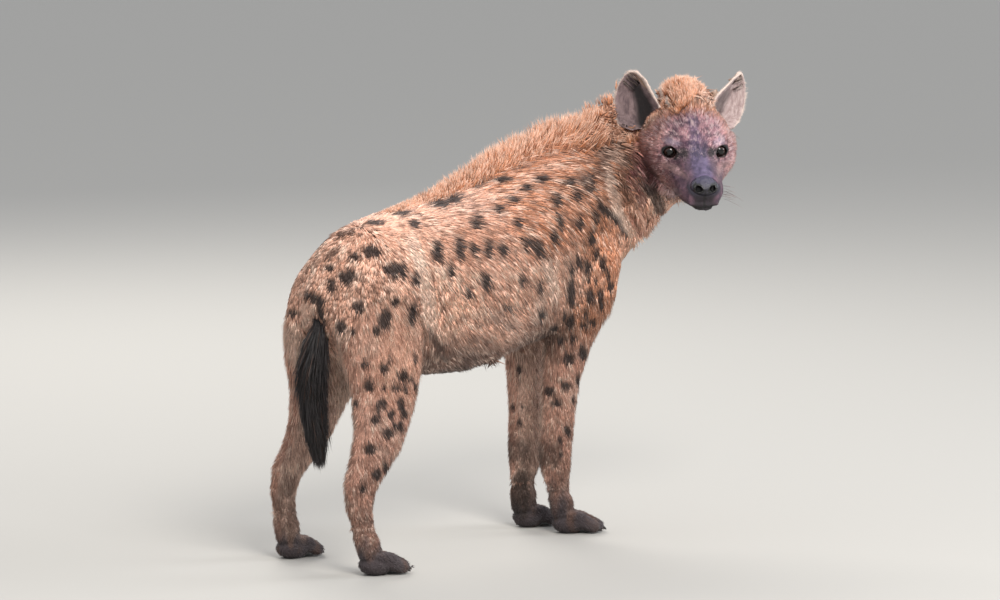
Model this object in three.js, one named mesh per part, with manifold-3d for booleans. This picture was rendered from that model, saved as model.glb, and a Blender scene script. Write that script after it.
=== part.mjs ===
// A spotted hyena at life size, standing and looking back over its right shoulder.
// Millimetres. +X runs from the tail to the chest, +Y to the animal's left, +Z up.
import * as THREE from "three";
import { mergeVertices } from "three/addons/utils/BufferGeometryUtils.js";
import Module from "manifold-3d";

const wasm = await Module();
wasm.setup();

// Driving dimensions
const WITHERS = 850; // top of the shoulders, under the mane
const CROUP = 736; // top of the rump
const BELLY = 382; // underline of the belly
const GAP = 0.4; // room between neighbouring parts

const UP = new THREE.Vector3(0, 0, 1);
const AHEAD = new THREE.Vector3(1, 0, 0);
const RIGHT = -1;
const LEFT = 1;
const SIDES = { left: LEFT, right: RIGHT };

// Geometry kit

const vec = (x, y, z) => new THREE.Vector3(x, y, z);

function solidOf(geometry) {
  geometry.deleteAttribute("normal");
  geometry.deleteAttribute("uv");
  const merged = mergeVertices(geometry, 1e-3);
  return new wasm.Manifold(
    new wasm.Mesh({
      numProp: 3,
      vertProperties: merged.attributes.position.array,
      triVerts: new Uint32Array(merged.index.array),
    }),
  );
}

function geometryOf(solid) {
  const { vertProperties, triVerts, numProp } = solid.getMesh();
  const places = new Float32Array((vertProperties.length / numProp) * 3);
  for (let i = 0; i < places.length / 3; i += 1) {
    places.set(vertProperties.subarray(i * numProp, i * numProp + 3), i * 3);
  }
  const geometry = new THREE.BufferGeometry();
  geometry.setAttribute("position", new THREE.BufferAttribute(places, 3));
  geometry.setIndex(new THREE.BufferAttribute(triVerts, 1));
  const faceted = geometry.toNonIndexed();
  faceted.computeVertexNormals();
  return faceted;
}

const union = (solids) => solids.reduce((sum, one) => sum.add(one));

// The largest closed surface of a solid, without loose scraps
function largest(solid) {
  const bodies = solid.decompose();
  return bodies.reduce((best, one) => (one.volume() > best.volume() ? one : best));
}

// A rounded form over stations along a smooth spine. A station has at, its place,
// wide, its half width to either side, and above and below, its reach from the spine.
class Loft {
  constructor(stations, { sides = 16, steps = 2, ref = UP, ends = [0.6, 0.6], caps } = {}) {
    this.spine = new THREE.CatmullRomCurve3(stations.map(({ at }) => vec(...at)));
    this.sizes = new THREE.CatmullRomCurve3(
      stations.map(({ wide, above = wide, below = above }) => vec(wide, above, below)),
    );
    this.rings = (stations.length - 1) * steps;
    this.sides = sides;
    this.ref = ref;
    this.ends = ends;
    this.caps = (caps ?? [60, 30]).map(THREE.MathUtils.degToRad);
  }

  frame(t) {
    const along = this.spine.getTangent(t);
    const side = vec().crossVectors(this.ref, along).normalize();
    return { at: this.spine.getPoint(t), along, side, up: vec().crossVectors(along, side) };
  }

  // A point of the surface: t from 0 to 1 along the spine, angle from the side upwards
  point(t, angle, grow = 0, shrink = 1, push = 0) {
    const { at, along, side, up } = this.frame(t);
    const { x: wide, y: above, z: below } = this.sizes.getPoint(t);
    const rise = Math.sin(angle) * (Math.sin(angle) > 0 ? above + grow : below + grow);
    return at
      .addScaledVector(along, push)
      .addScaledVector(side, shrink * (wide + grow) * Math.cos(angle))
      .addScaledVector(up, shrink * rise);
  }

  normal(t, angle) {
    const step = 0.01;
    const a = Math.min(Math.max(t, step), 1 - step);
    const around = this.point(a, angle + step).sub(this.point(a, angle - step));
    const along = this.point(a + step, angle).sub(this.point(a - step, angle));
    return around.cross(along).normalize();
  }

  solid(grow = 0) {
    const places = [];
    const faces = [];
    const ring = (t, shrink = 1, push = 0) => {
      for (let j = 0; j < this.sides; j += 1) {
        const angle = ((j + 0.5) * 2 * Math.PI) / this.sides;
        places.push(this.point(t, angle, grow, shrink, push));
      }
    };
    const [back, front] = this.ends.map((share, i) => {
      const { x, y } = this.sizes.getPoint(i);
      return share * Math.min(x, y) + grow;
    });
    for (const bend of this.caps) ring(0, Math.cos(bend), -back * Math.sin(bend));
    for (let i = 0; i <= this.rings; i += 1) ring(i / this.rings);
    for (const bend of this.caps.toReversed()) ring(1, Math.cos(bend), front * Math.sin(bend));
    const count = places.length / this.sides;
    for (let i = 0; i < count - 1; i += 1) {
      for (let j = 0; j < this.sides; j += 1) {
        const a = i * this.sides + j;
        const b = i * this.sides + ((j + 1) % this.sides);
        const [c, d] = [b + this.sides, a + this.sides];
        faces.push(a, b, d, b, c, d);
      }
    }
    const first = this.frame(0);
    const final = this.frame(1);
    const tail = places.push(first.at.addScaledVector(first.along, -back)) - 1;
    const nose = places.push(final.at.addScaledVector(final.along, front)) - 1;
    const last = (count - 1) * this.sides;
    for (let j = 0; j < this.sides; j += 1) {
      const next = (j + 1) % this.sides;
      faces.push(tail, next, j, nose, last + j, last + next);
    }
    const geometry = new THREE.BufferGeometry().setFromPoints(places);
    geometry.setIndex(faces);
    return solidOf(geometry);
  }
}

function ellipsoid(at, radii, grow = 0, detail = 12) {
  const geometry = new THREE.SphereGeometry(1, detail, Math.round(detail * 0.7));
  geometry.scale(...radii.map((radius) => radius + grow));
  geometry.translate(...at);
  return solidOf(geometry);
}

// Locks of hair: flat tapered blades with their roots sunk in the form they grow from

const LOCK_RINGS = [
  { along: -0.3, wide: 0.8, thick: 1 },
  { along: 0.25, wide: 1, thick: 1 },
  { along: 0.65, wide: 0.6, thick: 0.7 },
];

function lock({ root, dir, across, long, wide, thick, bend = vec(), grow = 0 }) {
  const over = vec().crossVectors(dir, across).normalize();
  const middle = (along) =>
    root
      .clone()
      .addScaledVector(dir, along * (long + grow))
      .addScaledVector(bend, Math.max(0, along) ** 2);
  const places = [];
  for (const ring of LOCK_RINGS) {
    const w = wide * ring.wide + grow;
    const t = thick * ring.thick + grow;
    places.push(middle(ring.along).addScaledVector(across, w));
    places.push(middle(ring.along).addScaledVector(over, t));
    places.push(middle(ring.along).addScaledVector(across, -w));
    places.push(middle(ring.along).addScaledVector(over, -t));
  }
  const tip = places.push(middle(1)) - 1;
  const faces = [0, 2, 1, 0, 3, 2];
  for (let j = 0; j < 4; j += 1) {
    const next = (j + 1) % 4;
    for (let i = 0; i < 8; i += 4) {
      faces.push(i + j, i + next, i + 4 + j, i + next, i + 4 + next, i + 4 + j);
    }
    faces.push(8 + j, 8 + next, tip);
  }
  const geometry = new THREE.BufferGeometry().setFromPoints(places);
  geometry.setIndex(faces);
  const solid = solidOf(geometry);
  return solid;
}

// A repeatable source of small differences between locks
function seeded(seed) {
  let state = seed;
  return (low, high) => {
    state = (state * 16807) % 2147483647;
    return low + ((high - low) * state) / 2147483647;
  };
}

// Trunk: top line, underline and half width from the rump to the front of the chest

const TRUNK_LINE = [
  { x: -385, top: 610, bottom: 485, wide: 60 },
  { x: -355, top: 660, bottom: 445, wide: 92 },
  { x: -300, top: 706, bottom: 412, wide: 118 },
  { x: -200, top: CROUP, bottom: 390, wide: 134 },
  { x: -85, top: 754, bottom: BELLY, wide: 148 },
  { x: 25, top: 772, bottom: BELLY + 2, wide: 152 },
  { x: 135, top: 800, bottom: 406, wide: 148, y: -2 },
  { x: 240, top: WITHERS - 16, bottom: 440, wide: 138, y: -6 },
  { x: 330, top: WITHERS, bottom: 474, wide: 128, y: -12 },
  { x: 410, top: WITHERS - 12, bottom: 515, wide: 110, y: -22 },
  { x: 460, top: 785, bottom: 570, wide: 84, y: -32 },
];

const trunkLoft = new Loft(
  TRUNK_LINE.map(({ x, top, bottom, wide, y = 0 }) => ({
    at: [x, y, (top + bottom) / 2],
    wide,
    above: (top - bottom) / 2,
  })),
  { sides: 22, ends: [0.5, 0.5] },
);

// Neck, from inside the chest up and round to the right into the head

const neckLoft = new Loft(
  [
    { at: [335, -5, 655], wide: 108, above: 160, below: 155 },
    { at: [435, -15, 714], wide: 106, above: 142, below: 145 },
    { at: [520, -45, 782], wide: 98, above: 122, below: 130 },
    { at: [560, -100, 828], wide: 90, above: 104, below: 118 },
    { at: [566, -155, 845], wide: 82, above: 88, below: 104 },
  ],
  { sides: 20, ends: [0.4, 0.4] },
);

// Mane, the raised ridge of long hair: the line of its tips and the hair's length.
// A core reaches half way up the hair and locks stand on it out to the tips.

const MANE_BACK = [
  { at: [-150, 0, 748], hair: 12, wide: 26 },
  { at: [-19, 0, 776], hair: 22, wide: 30 },
  { at: [48, 0, 796], hair: 30, wide: 34 },
  { at: [120, -2, 830], hair: 42, wide: 36 },
  { at: [209, -5, 863], hair: 52, wide: 38 },
  { at: [290, -8, 886], hair: 60, wide: 40 },
  { at: [352, -10, 903], hair: 64, wide: 40 },
  { at: [400, -12, 913], hair: 66, wide: 38 },
];

const MANE_NECK = [
  { at: [400, -12, 913], hair: 66, wide: 40 },
  { at: [455, -18, 924], hair: 66, wide: 42 },
  { at: [510, -40, 936], hair: 60, wide: 44 },
  { at: [545, -80, 950], hair: 54, wide: 46 },
  { at: [548, -115, 960], hair: 50, wide: 46 },
];

const CREST = [
  { at: [-160, 0, 116], hair: 46, wide: 54 },
  { at: [-125, 0, 134], hair: 48, wide: 64 },
  { at: [-92, 0, 128], hair: 44, wide: 60 },
  { at: [-62, 0, 100], hair: 22, wide: 40 },
];

const ridge = (line) =>
  new Loft(
    line.map(({ at: [x, y, z], hair, wide }) => ({
      at: [x, y, z - hair - 24],
      wide,
      above: 24 + hair / 2,
      below: 40,
    })),
    { sides: 10, steps: 1, ends: [0.3, 0.3] },
  );

// Locks standing on a ridge in rows, each row an angle in degrees round it from its side
function maneLocks(core, line, { count, rows, wide, seed }, grow) {
  const random = seeded(seed);
  const locks = [];
  for (const row of rows) {
    for (let i = 0; i < count; i += 1) {
      const t = (i + 0.3 + 0.4 * (row % 2 ? 1 : 0) + random(-0.15, 0.15)) / count;
      const angle = THREE.MathUtils.degToRad(row + random(-8, 8));
      const { along } = core.frame(t);
      const station = t * (line.length - 1);
      const low = line[Math.floor(station)].hair;
      const hair = THREE.MathUtils.lerp(low, line[Math.ceil(station)].hair, station % 1);
      const out = core.normal(t, angle).lerp(UP, 0.35);
      const dir = out.addScaledVector(along, random(-0.3, 0.3)).normalize();
      const across = vec().crossVectors(dir, vec().crossVectors(along, dir)).normalize();
      locks.push(
        lock({
          root: core.point(t, angle),
          dir,
          across,
          long: hair * 0.5 * random(0.85, 1.2),
          wide: wide * random(0.85, 1.15),
          thick: random(5, 7),
          bend: along.clone().multiplyScalar(hair * random(-0.2, 0.2)),
          grow,
        }),
      );
    }
  }
  return union(locks);
}

const maneBack = ridge(MANE_BACK);
const maneNeck = ridge(MANE_NECK);
const crest = ridge(CREST);
const BACK_ROWS = { count: 12, rows: [50, 90, 130], wide: 25, seed: 11 };
const NECK_ROWS = { count: 5, rows: [50, 90, 130], wide: 24, seed: 23 };
const CREST_ROWS = { count: 3, rows: [30, 70, 110, 150], wide: 23, seed: 37 };

// Fringe of the belly: locks that hang down and a little back
const FRINGE = { count: 5, rows: [-65, -90, -115], from: 0.22, to: 0.66, long: 46 };

function bellyLocks(grow) {
  const random = seeded(53);
  const { count, rows, from, to, long } = FRINGE;
  const locks = [];
  for (const row of rows) {
    for (let i = 0; i < count; i += 1) {
      const t = THREE.MathUtils.lerp(from, to, (i + random(0.2, 0.8)) / count);
      const angle = THREE.MathUtils.degToRad(row + random(-5, 5));
      const { along } = trunkLoft.frame(t);
      const dir = trunkLoft.normal(t, angle).multiplyScalar(0.35);
      dir.addScaledVector(along, -0.9).addScaledVector(UP, -0.35).normalize();
      const across = vec().crossVectors(dir, trunkLoft.normal(t, angle)).normalize();
      locks.push(
        lock({
          root: trunkLoft.point(t, angle),
          dir,
          across,
          long: long * random(0.8, 1.15),
          wide: random(18, 24),
          thick: random(4, 6),
          bend: UP.clone().multiplyScalar(-8),
          grow,
        }),
      );
    }
  }
  return union(locks);
}

// Throat hair: locks that lie down along the front of the neck
function throatLocks(grow) {
  const random = seeded(71);
  const locks = [];
  for (const row of [-60, -90, -120]) {
    for (let i = 0; i < 2; i += 1) {
      const t = 0.4 + 0.25 * (i + random(0.3, 0.7));
      const angle = THREE.MathUtils.degToRad(row + random(-8, 8));
      const { along } = neckLoft.frame(t);
      const normal = neckLoft.normal(t, angle);
      const dir = along.clone().multiplyScalar(-1).addScaledVector(normal, 0.3).normalize();
      locks.push(
        lock({
          root: neckLoft.point(t, angle),
          dir,
          across: vec().crossVectors(dir, normal).normalize(),
          long: random(42, 54),
          wide: random(18, 24),
          thick: random(4, 6),
          grow,
        }),
      );
    }
  }
  return union(locks);
}

const torsoShape = (grow) =>
  union([
    trunkLoft.solid(grow),
    maneBack.solid(grow),
    maneLocks(maneBack, MANE_BACK, BACK_ROWS, grow),
    bellyLocks(grow),
  ]);
const neckCore = (grow) => neckLoft.solid(grow).add(maneNeck.solid(grow));
const neckLocks = (grow) =>
  maneLocks(maneNeck, MANE_NECK, NECK_ROWS, grow).add(throatLocks(grow));

// Legs, from inside the trunk down to the ankle

const LEG_JOINTS = {
  front_leg_right: [
    { at: [318, -62, 690], wide: 36, above: 62, below: 62 },
    { at: [345, -88, 600], wide: 60, above: 92, below: 92 },
    { at: [340, -80, 510], wide: 56, above: 82, below: 86 },
    { at: [322, -62, 430], wide: 46, above: 54, below: 62 },
    { at: [308, -50, 350], wide: 38, above: 44, below: 44 },
    { at: [302, -45, 270], wide: 34, above: 38, below: 36 },
    { at: [298, -42, 185], wide: 32, above: 34, below: 34 },
    { at: [300, -42, 130], wide: 29, above: 28, below: 30 },
    { at: [302, -44, 90], wide: 25, above: 24, below: 24 },
    { at: [308, -50, 45], wide: 26, above: 26, below: 26 },
  ],
  front_leg_left: [
    { at: [312, 58, 690], wide: 36, above: 62, below: 62 },
    { at: [338, 86, 600], wide: 60, above: 92, below: 92 },
    { at: [332, 86, 510], wide: 56, above: 82, below: 86 },
    { at: [318, 80, 430], wide: 44, above: 52, below: 58 },
    { at: [310, 72, 350], wide: 36, above: 40, below: 40 },
    { at: [308, 68, 270], wide: 33, above: 36, below: 34 },
    { at: [305, 67, 185], wide: 32, above: 34, below: 34 },
    { at: [304, 66, 130], wide: 30, above: 30, below: 30 },
    { at: [305, 66, 90], wide: 28, above: 27, below: 27 },
    { at: [308, 66, 45], wide: 28, above: 27, below: 27 },
  ],
  hind_leg_right: [
    { at: [-285, -72, 600], wide: 56, above: 105, below: 95 },
    { at: [-292, -82, 510], wide: 66, above: 122, below: 118 },
    { at: [-296, -90, 430], wide: 60, above: 104, below: 108 },
    { at: [-302, -98, 358], wide: 50, above: 84, below: 86 },
    { at: [-342, -120, 282], wide: 39, above: 64, below: 66 },
    { at: [-372, -122, 232], wide: 32, above: 52, below: 52 },
    { at: [-393, -119, 190], wide: 29, above: 42, below: 46 },
    { at: [-395, -117, 145], wide: 26, above: 34, below: 34 },
    { at: [-386, -121, 100], wide: 24, above: 27, below: 28 },
    { at: [-374, -128, 45], wide: 25, above: 26, below: 26 },
  ],
  hind_leg_left: [
    { at: [-275, 72, 600], wide: 56, above: 105, below: 100 },
    { at: [-282, 86, 510], wide: 66, above: 122, below: 118 },
    { at: [-284, 94, 430], wide: 60, above: 104, below: 108 },
    { at: [-286, 102, 358], wide: 50, above: 84, below: 86 },
    { at: [-304, 116, 282], wide: 39, above: 62, below: 62 },
    { at: [-324, 130, 232], wide: 32, above: 46, below: 48 },
    { at: [-346, 142, 190], wide: 29, above: 38, below: 42 },
    { at: [-352, 150, 145], wide: 26, above: 32, below: 32 },
    { at: [-348, 150, 100], wide: 26, above: 28, below: 28 },
    { at: [-340, 148, 45], wide: 26, above: 26, below: 26 },
  ],
};

const CARPAL_PAD = { behind: 30, height: 118, radii: [11, 10, 14] };

function legShape(name, grow = 0) {
  const joints = LEG_JOINTS[name];
  const leg = new Loft(joints, { sides: 12, steps: 1, ref: AHEAD, ends: [0.5, 0.5] }).solid(grow);
  if (name.startsWith("hind")) return leg;
  const [x, y] = joints.at(-3).at;
  const pad = [x - CARPAL_PAD.behind, y, CARPAL_PAD.height];
  return leg.add(ellipsoid(pad, CARPAL_PAD.radii, grow, 8));
}

// Paws: four toes with claws round a pad, each heading its own way

const PAWS = {
  paw_front_right: { leg: "front_leg_right", turn: -32 },
  paw_front_left: { leg: "front_leg_left", turn: -10 },
  paw_hind_right: { leg: "hind_leg_right", turn: -14 },
  paw_hind_left: { leg: "hind_leg_left", turn: 3 },
};

const TOES = [
  { out: -27, reach: 62, wide: 14 },
  { out: -10, reach: 77, wide: 15 },
  { out: 10, reach: 77, wide: 15 },
  { out: 27, reach: 62, wide: 14 },
];

const CLAW = { long: 13, thick: 5.5, high: 13 };

function pawShape(name, grow = 0) {
  const { leg, turn } = PAWS[name];
  const [x, y] = LEG_JOINTS[leg].at(-1).at;
  const toes = TOES.map(({ out, reach, wide }) =>
    new Loft(
      [
        { at: [6, out * 0.5, 38], wide: 17, above: 18 },
        { at: [reach * 0.55, out * 0.95, 29], wide, above: 19 },
        { at: [reach, out * 1.12, 15], wide, above: 15 },
      ],
      { sides: 6, steps: 1, ends: [0.7, 0.9], caps: [45] },
    ).solid(grow),
  );
  const claws = TOES.map(({ out, reach }) => {
    const claw = new THREE.ConeGeometry(CLAW.thick + grow, CLAW.long * 2, 5);
    claw.rotateZ(-Math.PI / 2 - 0.45);
    claw.translate(reach + CLAW.long * 0.8, out * 1.15, CLAW.high);
    return solidOf(claw);
  });
  const pad = ellipsoid([14, 0, 22], [39, 34, 26], grow, 10);
  const ground = solidOf(new THREE.BoxGeometry(400, 400, 100).translate(0, 0, -50));
  return union([...toes, ...claws, pad])
    .subtract(ground)
    .rotate([0, 0, turn])
    .translate([x, y, 0]);
}

// Tail: a thin dock between the thighs, and a brush of locks hanging round a core

const DOCK = [
  { at: [-362, 0, 580], wide: 24, above: 22 },
  { at: [-394, 0, 556], wide: 18, above: 16 },
  { at: [-404, -1, 500], wide: 15, above: 15 },
  { at: [-412, -3, 440], wide: 18, above: 17 },
  { at: [-418, -5, 365], wide: 20, above: 18 },
  { at: [-411, -5, 285], wide: 15, above: 14 },
  { at: [-404, -4, 250], wide: 9, above: 9 },
];
const dock = new Loft(DOCK, { sides: 8, steps: 1, ref: AHEAD, ends: [0.5, 1] });

const BRUSH = { rings: 4, around: 5, from: 0.4, to: 0.9, spread: 0.3, lowest: 208 };

function tailShape(grow) {
  const random = seeded(91);
  const locks = [];
  for (let i = 0; i < BRUSH.rings; i += 1) {
    for (let j = 0; j < BRUSH.around; j += 1) {
      const t = THREE.MathUtils.lerp(BRUSH.from, BRUSH.to, i / (BRUSH.rings - 1));
      const angle = ((j + (i % 2) / 2 + random(-0.15, 0.15)) * 2 * Math.PI) / BRUSH.around;
      const { along } = dock.frame(t);
      const normal = dock.normal(t, angle);
      const dir = along.clone().addScaledVector(normal, BRUSH.spread).normalize();
      const root = dock.point(t, angle);
      const long = Math.min(random(88, 104), root.z - BRUSH.lowest);
      locks.push(
        lock({
          root,
          dir,
          across: vec().crossVectors(dir, normal).normalize(),
          long,
          wide: random(10, 13),
          thick: random(5, 7),
          bend: normal.clone().multiplyScalar(-0.2 * long),
          grow,
        }),
      );
    }
  }
  return union([dock.solid(grow), ...locks]);
}

// Head, in its own frame: origin between the eyes, +X along the muzzle, +Y to its left

const HEAD_PLACE = { at: [519, -243, 833], turn: -126, drop: 15.5 };

const HEAD_LINE = [
  { x: -160, z: -2, wide: 62, above: 58, below: 64 },
  { x: -125, z: -4, wide: 90, above: 84, below: 98 },
  { x: -82, z: -8, wide: 103, above: 94, below: 104 },
  { x: -40, z: -20, wide: 100, above: 82, below: 92 },
  { x: -8, z: -38, wide: 84, above: 69, below: 70 },
  { x: 20, z: -46, wide: 64, above: 59, below: 58 },
  { x: 50, z: -52, wide: 53, above: 50, below: 50 },
  { x: 84, z: -56, wide: 47, above: 43, below: 44 },
  { x: 106, z: -58, wide: 38, above: 38, below: 38 },
];

const headLoft = new Loft(
  HEAD_LINE.map(({ x, z, ...sizes }) => ({ at: [x, 0, z], ...sizes })),
  { sides: 24, ends: [0.6, 0.35] },
);

const headShape = (grow) => headLoft.solid(grow).add(crest.solid(grow));
const crestLocks = (grow) => maneLocks(crest, CREST, CREST_ROWS, grow);

const headFrame = new THREE.Matrix4().compose(
  vec(...HEAD_PLACE.at),
  new THREE.Quaternion().setFromEuler(
    new THREE.Euler(
      0,
      THREE.MathUtils.degToRad(HEAD_PLACE.drop),
      THREE.MathUtils.degToRad(HEAD_PLACE.turn),
      "ZYX",
    ),
  ),
  vec(1, 1, 1),
);
const inWorld = (solid) => solid.transform(headFrame.elements);

// The place where the level z meets the side of the head at x
function headSide(x, z, side, out = 0) {
  let [low, high] = [0, 1];
  for (let i = 0; i < 20; i += 1) {
    const t = (low + high) / 2;
    if (headLoft.spine.getPoint(t).x < x) low = t;
    else high = t;
  }
  const middle = headLoft.spine.getPoint(low);
  const { x: wide, y: above, z: below } = headLoft.sizes.getPoint(low);
  const rise = (z - middle.z) / (z > middle.z ? above : below);
  return vec(x, side * (wide * Math.sqrt(Math.max(0, 1 - rise * rise)) + out), z);
}

// Eyes, balls behind almond openings in round lids

const EYE = { x: -5, y: 54, z: 0, radius: 15, lid: 4, out: 12 };
const EYE_OPENING = { inner: 16, outer: 14, upper: 10, lower: 9, tilt: -8 };

const eyeBall = (side, grow = 0, detail = 12) =>
  ellipsoid([EYE.x, side * EYE.y, EYE.z], Array(3).fill(EYE.radius), grow, detail);

function eyeOpening(side) {
  const { inner, outer, upper, lower, tilt } = EYE_OPENING;
  const almond = new THREE.Shape();
  almond.moveTo(-inner, -2);
  almond.quadraticCurveTo(-inner * 0.4, upper * 1.5, 0, upper);
  almond.quadraticCurveTo(outer * 0.7, upper, outer, 1);
  almond.quadraticCurveTo(outer * 0.5, -lower, 0, -lower);
  almond.quadraticCurveTo(-inner * 0.5, -lower, -inner, -2);
  const options = { depth: 40, bevelEnabled: false, curveSegments: 4 };
  const geometry = new THREE.ExtrudeGeometry(almond, options);
  geometry.rotateX(Math.PI / 2);
  geometry.rotateZ(Math.PI / 2);
  const opening = solidOf(geometry).rotate([tilt, 0, 0]);
  const faced = side > 0 ? opening : opening.mirror([0, 1, 0]);
  return faced.rotate([0, 0, side * EYE.out]).translate([EYE.x, side * EYE.y, EYE.z]);
}

// Mouth: a thin line under the lips, from the front of the muzzle to its corners

const MOUTH = [
  [112, -84],
  [100, -83],
  [80, -82],
  [56, -82],
  [34, -88],
  [16, -98],
];

function mouthLine(side, radius, lift = 0, out = 0) {
  const stations = MOUTH.map(([x, z]) => ({
    at: headSide(x, z + lift, side, out).toArray(),
    wide: radius,
  }));
  const front = { at: [117, side * 3, MOUTH[0][1] + lift], wide: radius };
  return new Loft([front, ...stations], { sides: 5, steps: 1, caps: [45] }).solid();
}

// Nose pad with comma-shaped nostrils

const NOSE = { at: [108, 0, -39], radii: [19, 31, 21] };
const NOSTRIL = [
  { at: [132, 13, -42], wide: 8, above: 8 },
  { at: [120, 16, -40], wide: 8, above: 8 },
  { at: [112, 18, -38], wide: 5, above: 5 },
];
const NOSTRIL_SLIT = [
  { at: [124, 17, -38], wide: 4 },
  { at: [119, 26, -32], wide: 3 },
  { at: [112, 31, -25], wide: 2 },
];

const noseShape = (grow = 0) => ellipsoid(NOSE.at, NOSE.radii, grow, 12);

function nostril(side) {
  const mirrored = (line) =>
    line.map(({ at: [x, y, z], ...sizes }) => ({ at: [x, side * y, z], ...sizes }));
  const hole = new Loft(mirrored(NOSTRIL), { sides: 8, steps: 1, caps: [45] }).solid();
  return hole.add(new Loft(mirrored(NOSTRIL_SLIT), { sides: 5, steps: 1, caps: [45] }).solid());
}

// Ears: a cupped sheet between an outer and an inner edge, given as reach out and height

const EAR = { thick: 5, deep: 26, back: 12, across: 8, tall: 7 };
const EAR_OUTER = new THREE.SplineCurve(
  [[14, 0], [48, 16], [60, 44], [53, 78], [38, 106], [18, 126], [10, 134]].map(
    ([out, up]) => new THREE.Vector2(out, up),
  ),
);
const EAR_INNER = new THREE.SplineCurve(
  [[26, 0], [54, 26], [62, 52], [40, 82], [22, 108], [2, 126], [-9, 134]].map(
    ([out, up]) => new THREE.Vector2(-out, up),
  ),
);
const EAR_PLACE = {
  left: { at: [-101, 79, 14], lean: 34, tip: -1, out: 38 },
  right: { at: [-101, 104, 11], lean: 19, tip: -11, out: 41 },
};

// A point of the sheet's middle: u up the ear, v from its inner to its outer edge
function earPoint(side, u, v) {
  const { x: out, y: up } = EAR_INNER.getPoint(u).lerp(EAR_OUTER.getPoint(u), (v + 1) / 2);
  const cup = EAR.deep * (1 - v * v) * (1 - 0.5 * u);
  return vec(-cup - EAR.back * u * u, side * out, up);
}

function earShape(name, grow = 0) {
  const side = SIDES[name];
  const { across, tall } = EAR;
  const half = EAR.thick / 2 + grow;
  const step = 0.01;
  const places = [];
  for (const face of [1, -1]) {
    for (let i = 0; i <= tall; i += 1) {
      for (let j = 0; j <= across; j += 1) {
        const u = 0.02 + (0.95 * i) / tall;
        const v = (j / across) * 1.96 - 0.98;
        const over = earPoint(side, u, v + step).sub(earPoint(side, u, v - step));
        const rise = earPoint(side, u + step, v).sub(earPoint(side, u - step, v));
        const normal = over.cross(rise).multiplyScalar(side).normalize();
        places.push(earPoint(side, u, v).addScaledVector(normal, face * half));
      }
    }
  }
  const row = across + 1;
  const back = row * (tall + 1);
  const faces = [];
  const edge = (p, q) => faces.push(p, back + p, q, q, back + p, back + q);
  for (let i = 0; i < tall; i += 1) {
    for (let j = 0; j < across; j += 1) {
      const a = i * row + j;
      const b = back + a;
      faces.push(a, a + 1, a + row, a + 1, a + row + 1, a + row);
      faces.push(b, b + row, b + 1, b + 1, b + row, b + row + 1);
    }
    edge((i + 1) * row, i * row);
    edge(i * row + across, (i + 1) * row + across);
  }
  for (let j = 0; j < across; j += 1) {
    edge(j, j + 1);
    edge(tall * row + j + 1, tall * row + j);
  }
  const geometry = new THREE.BufferGeometry().setFromPoints(places);
  geometry.setIndex(side > 0 ? faces : faces.reverse());
  const { at, lean, tip, out } = EAR_PLACE[name];
  return solidOf(geometry)
    .rotate([side * -lean, tip, 0])
    .rotate([0, 0, side * out])
    .translate([at[0], side * at[1], at[2]]);
}

// Room kept free of neck hair round each ear
const earRoom = (side) => ellipsoid([-108, side * 106, 84], [74, 82, 108], 0, 10);

// Parts, each cut back from its neighbours

const material = (color, roughness = 0.85) =>
  new THREE.MeshStandardMaterial({ color, roughness, metalness: 0, flatShading: true });
const coat = material(0xb89272);
const face = material(0x7c5f5c);
const darkHair = material(0x2b2224);
const footSkin = material(0x3a3230);
const noseSkin = material(0x2e2a33, 0.45);
const earSkin = material(0x8d7a76);
const eyeBrown = material(0x1d1512, 0.15);

const root = new THREE.Group();
root.name = "hyena";
const headGroup = new THREE.Group();
headGroup.name = "head_frame";
headGroup.applyMatrix4(headFrame);
root.add(headGroup);

function addPart(parent, name, solid, look) {
  const mesh = new THREE.Mesh(geometryOf(largest(solid)), look);
  mesh.name = name;
  parent.add(mesh);
}

const legNames = Object.keys(LEG_JOINTS);
const legRoom = union(legNames.map((name) => legShape(name, GAP)));
const earsRoom = union(Object.keys(SIDES).map((name) => earShape(name, GAP)));
const headRoom = inWorld(
  union([headShape(GAP), crestLocks(GAP), earRoom(LEFT), earRoom(RIGHT)]),
);

addPart(root, "torso", torsoShape(0).subtract(legRoom).subtract(tailShape(GAP)), coat);
const neck = neckCore(0).add(neckLocks(0).subtract(legRoom));
addPart(root, "neck", neck.subtract(torsoShape(GAP)).subtract(headRoom), coat);
for (const name of legNames) {
  const paw = Object.keys(PAWS).find((one) => PAWS[one].leg === name);
  const leg = legShape(name).subtract(pawShape(paw, GAP));
  addPart(root, name, name.startsWith("front") ? leg.subtract(neckCore(GAP)) : leg, coat);
}
for (const name of Object.keys(PAWS)) addPart(root, name, pawShape(name), footSkin);
addPart(root, "tail", tailShape(0), darkHair);

let head = headShape(0).add(crestLocks(0).subtract(earsRoom));
for (const side of [LEFT, RIGHT]) {
  head = head
    .add(eyeBall(side, EYE.lid))
    .add(mouthLine(side, 5.5, 5, -2.5))
    .add(mouthLine(side, 4.5, -5, -2.5));
}
for (const side of [LEFT, RIGHT]) {
  head = head
    .subtract(eyeBall(side, GAP))
    .subtract(eyeOpening(side))
    .subtract(mouthLine(side, 2.4, 0, 1.5));
}
addPart(headGroup, "head", head.subtract(noseShape(GAP)), face);
addPart(headGroup, "nose", noseShape().subtract(nostril(LEFT)).subtract(nostril(RIGHT)), noseSkin);
for (const [name, side] of Object.entries(SIDES)) {
  addPart(headGroup, `eye_${name}`, eyeBall(side), eyeBrown);
  addPart(headGroup, `ear_${name}`, earShape(name).subtract(headShape(GAP)), earSkin);
}

// The origin lies on the floor under the middle of the whole
const extent = new THREE.Box3().setFromObject(root, true);
const middle = extent.getCenter(vec());
root.position.set(-middle.x, -middle.y, -extent.min.z);

export default root;
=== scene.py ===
import math
from functools import cache

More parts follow.
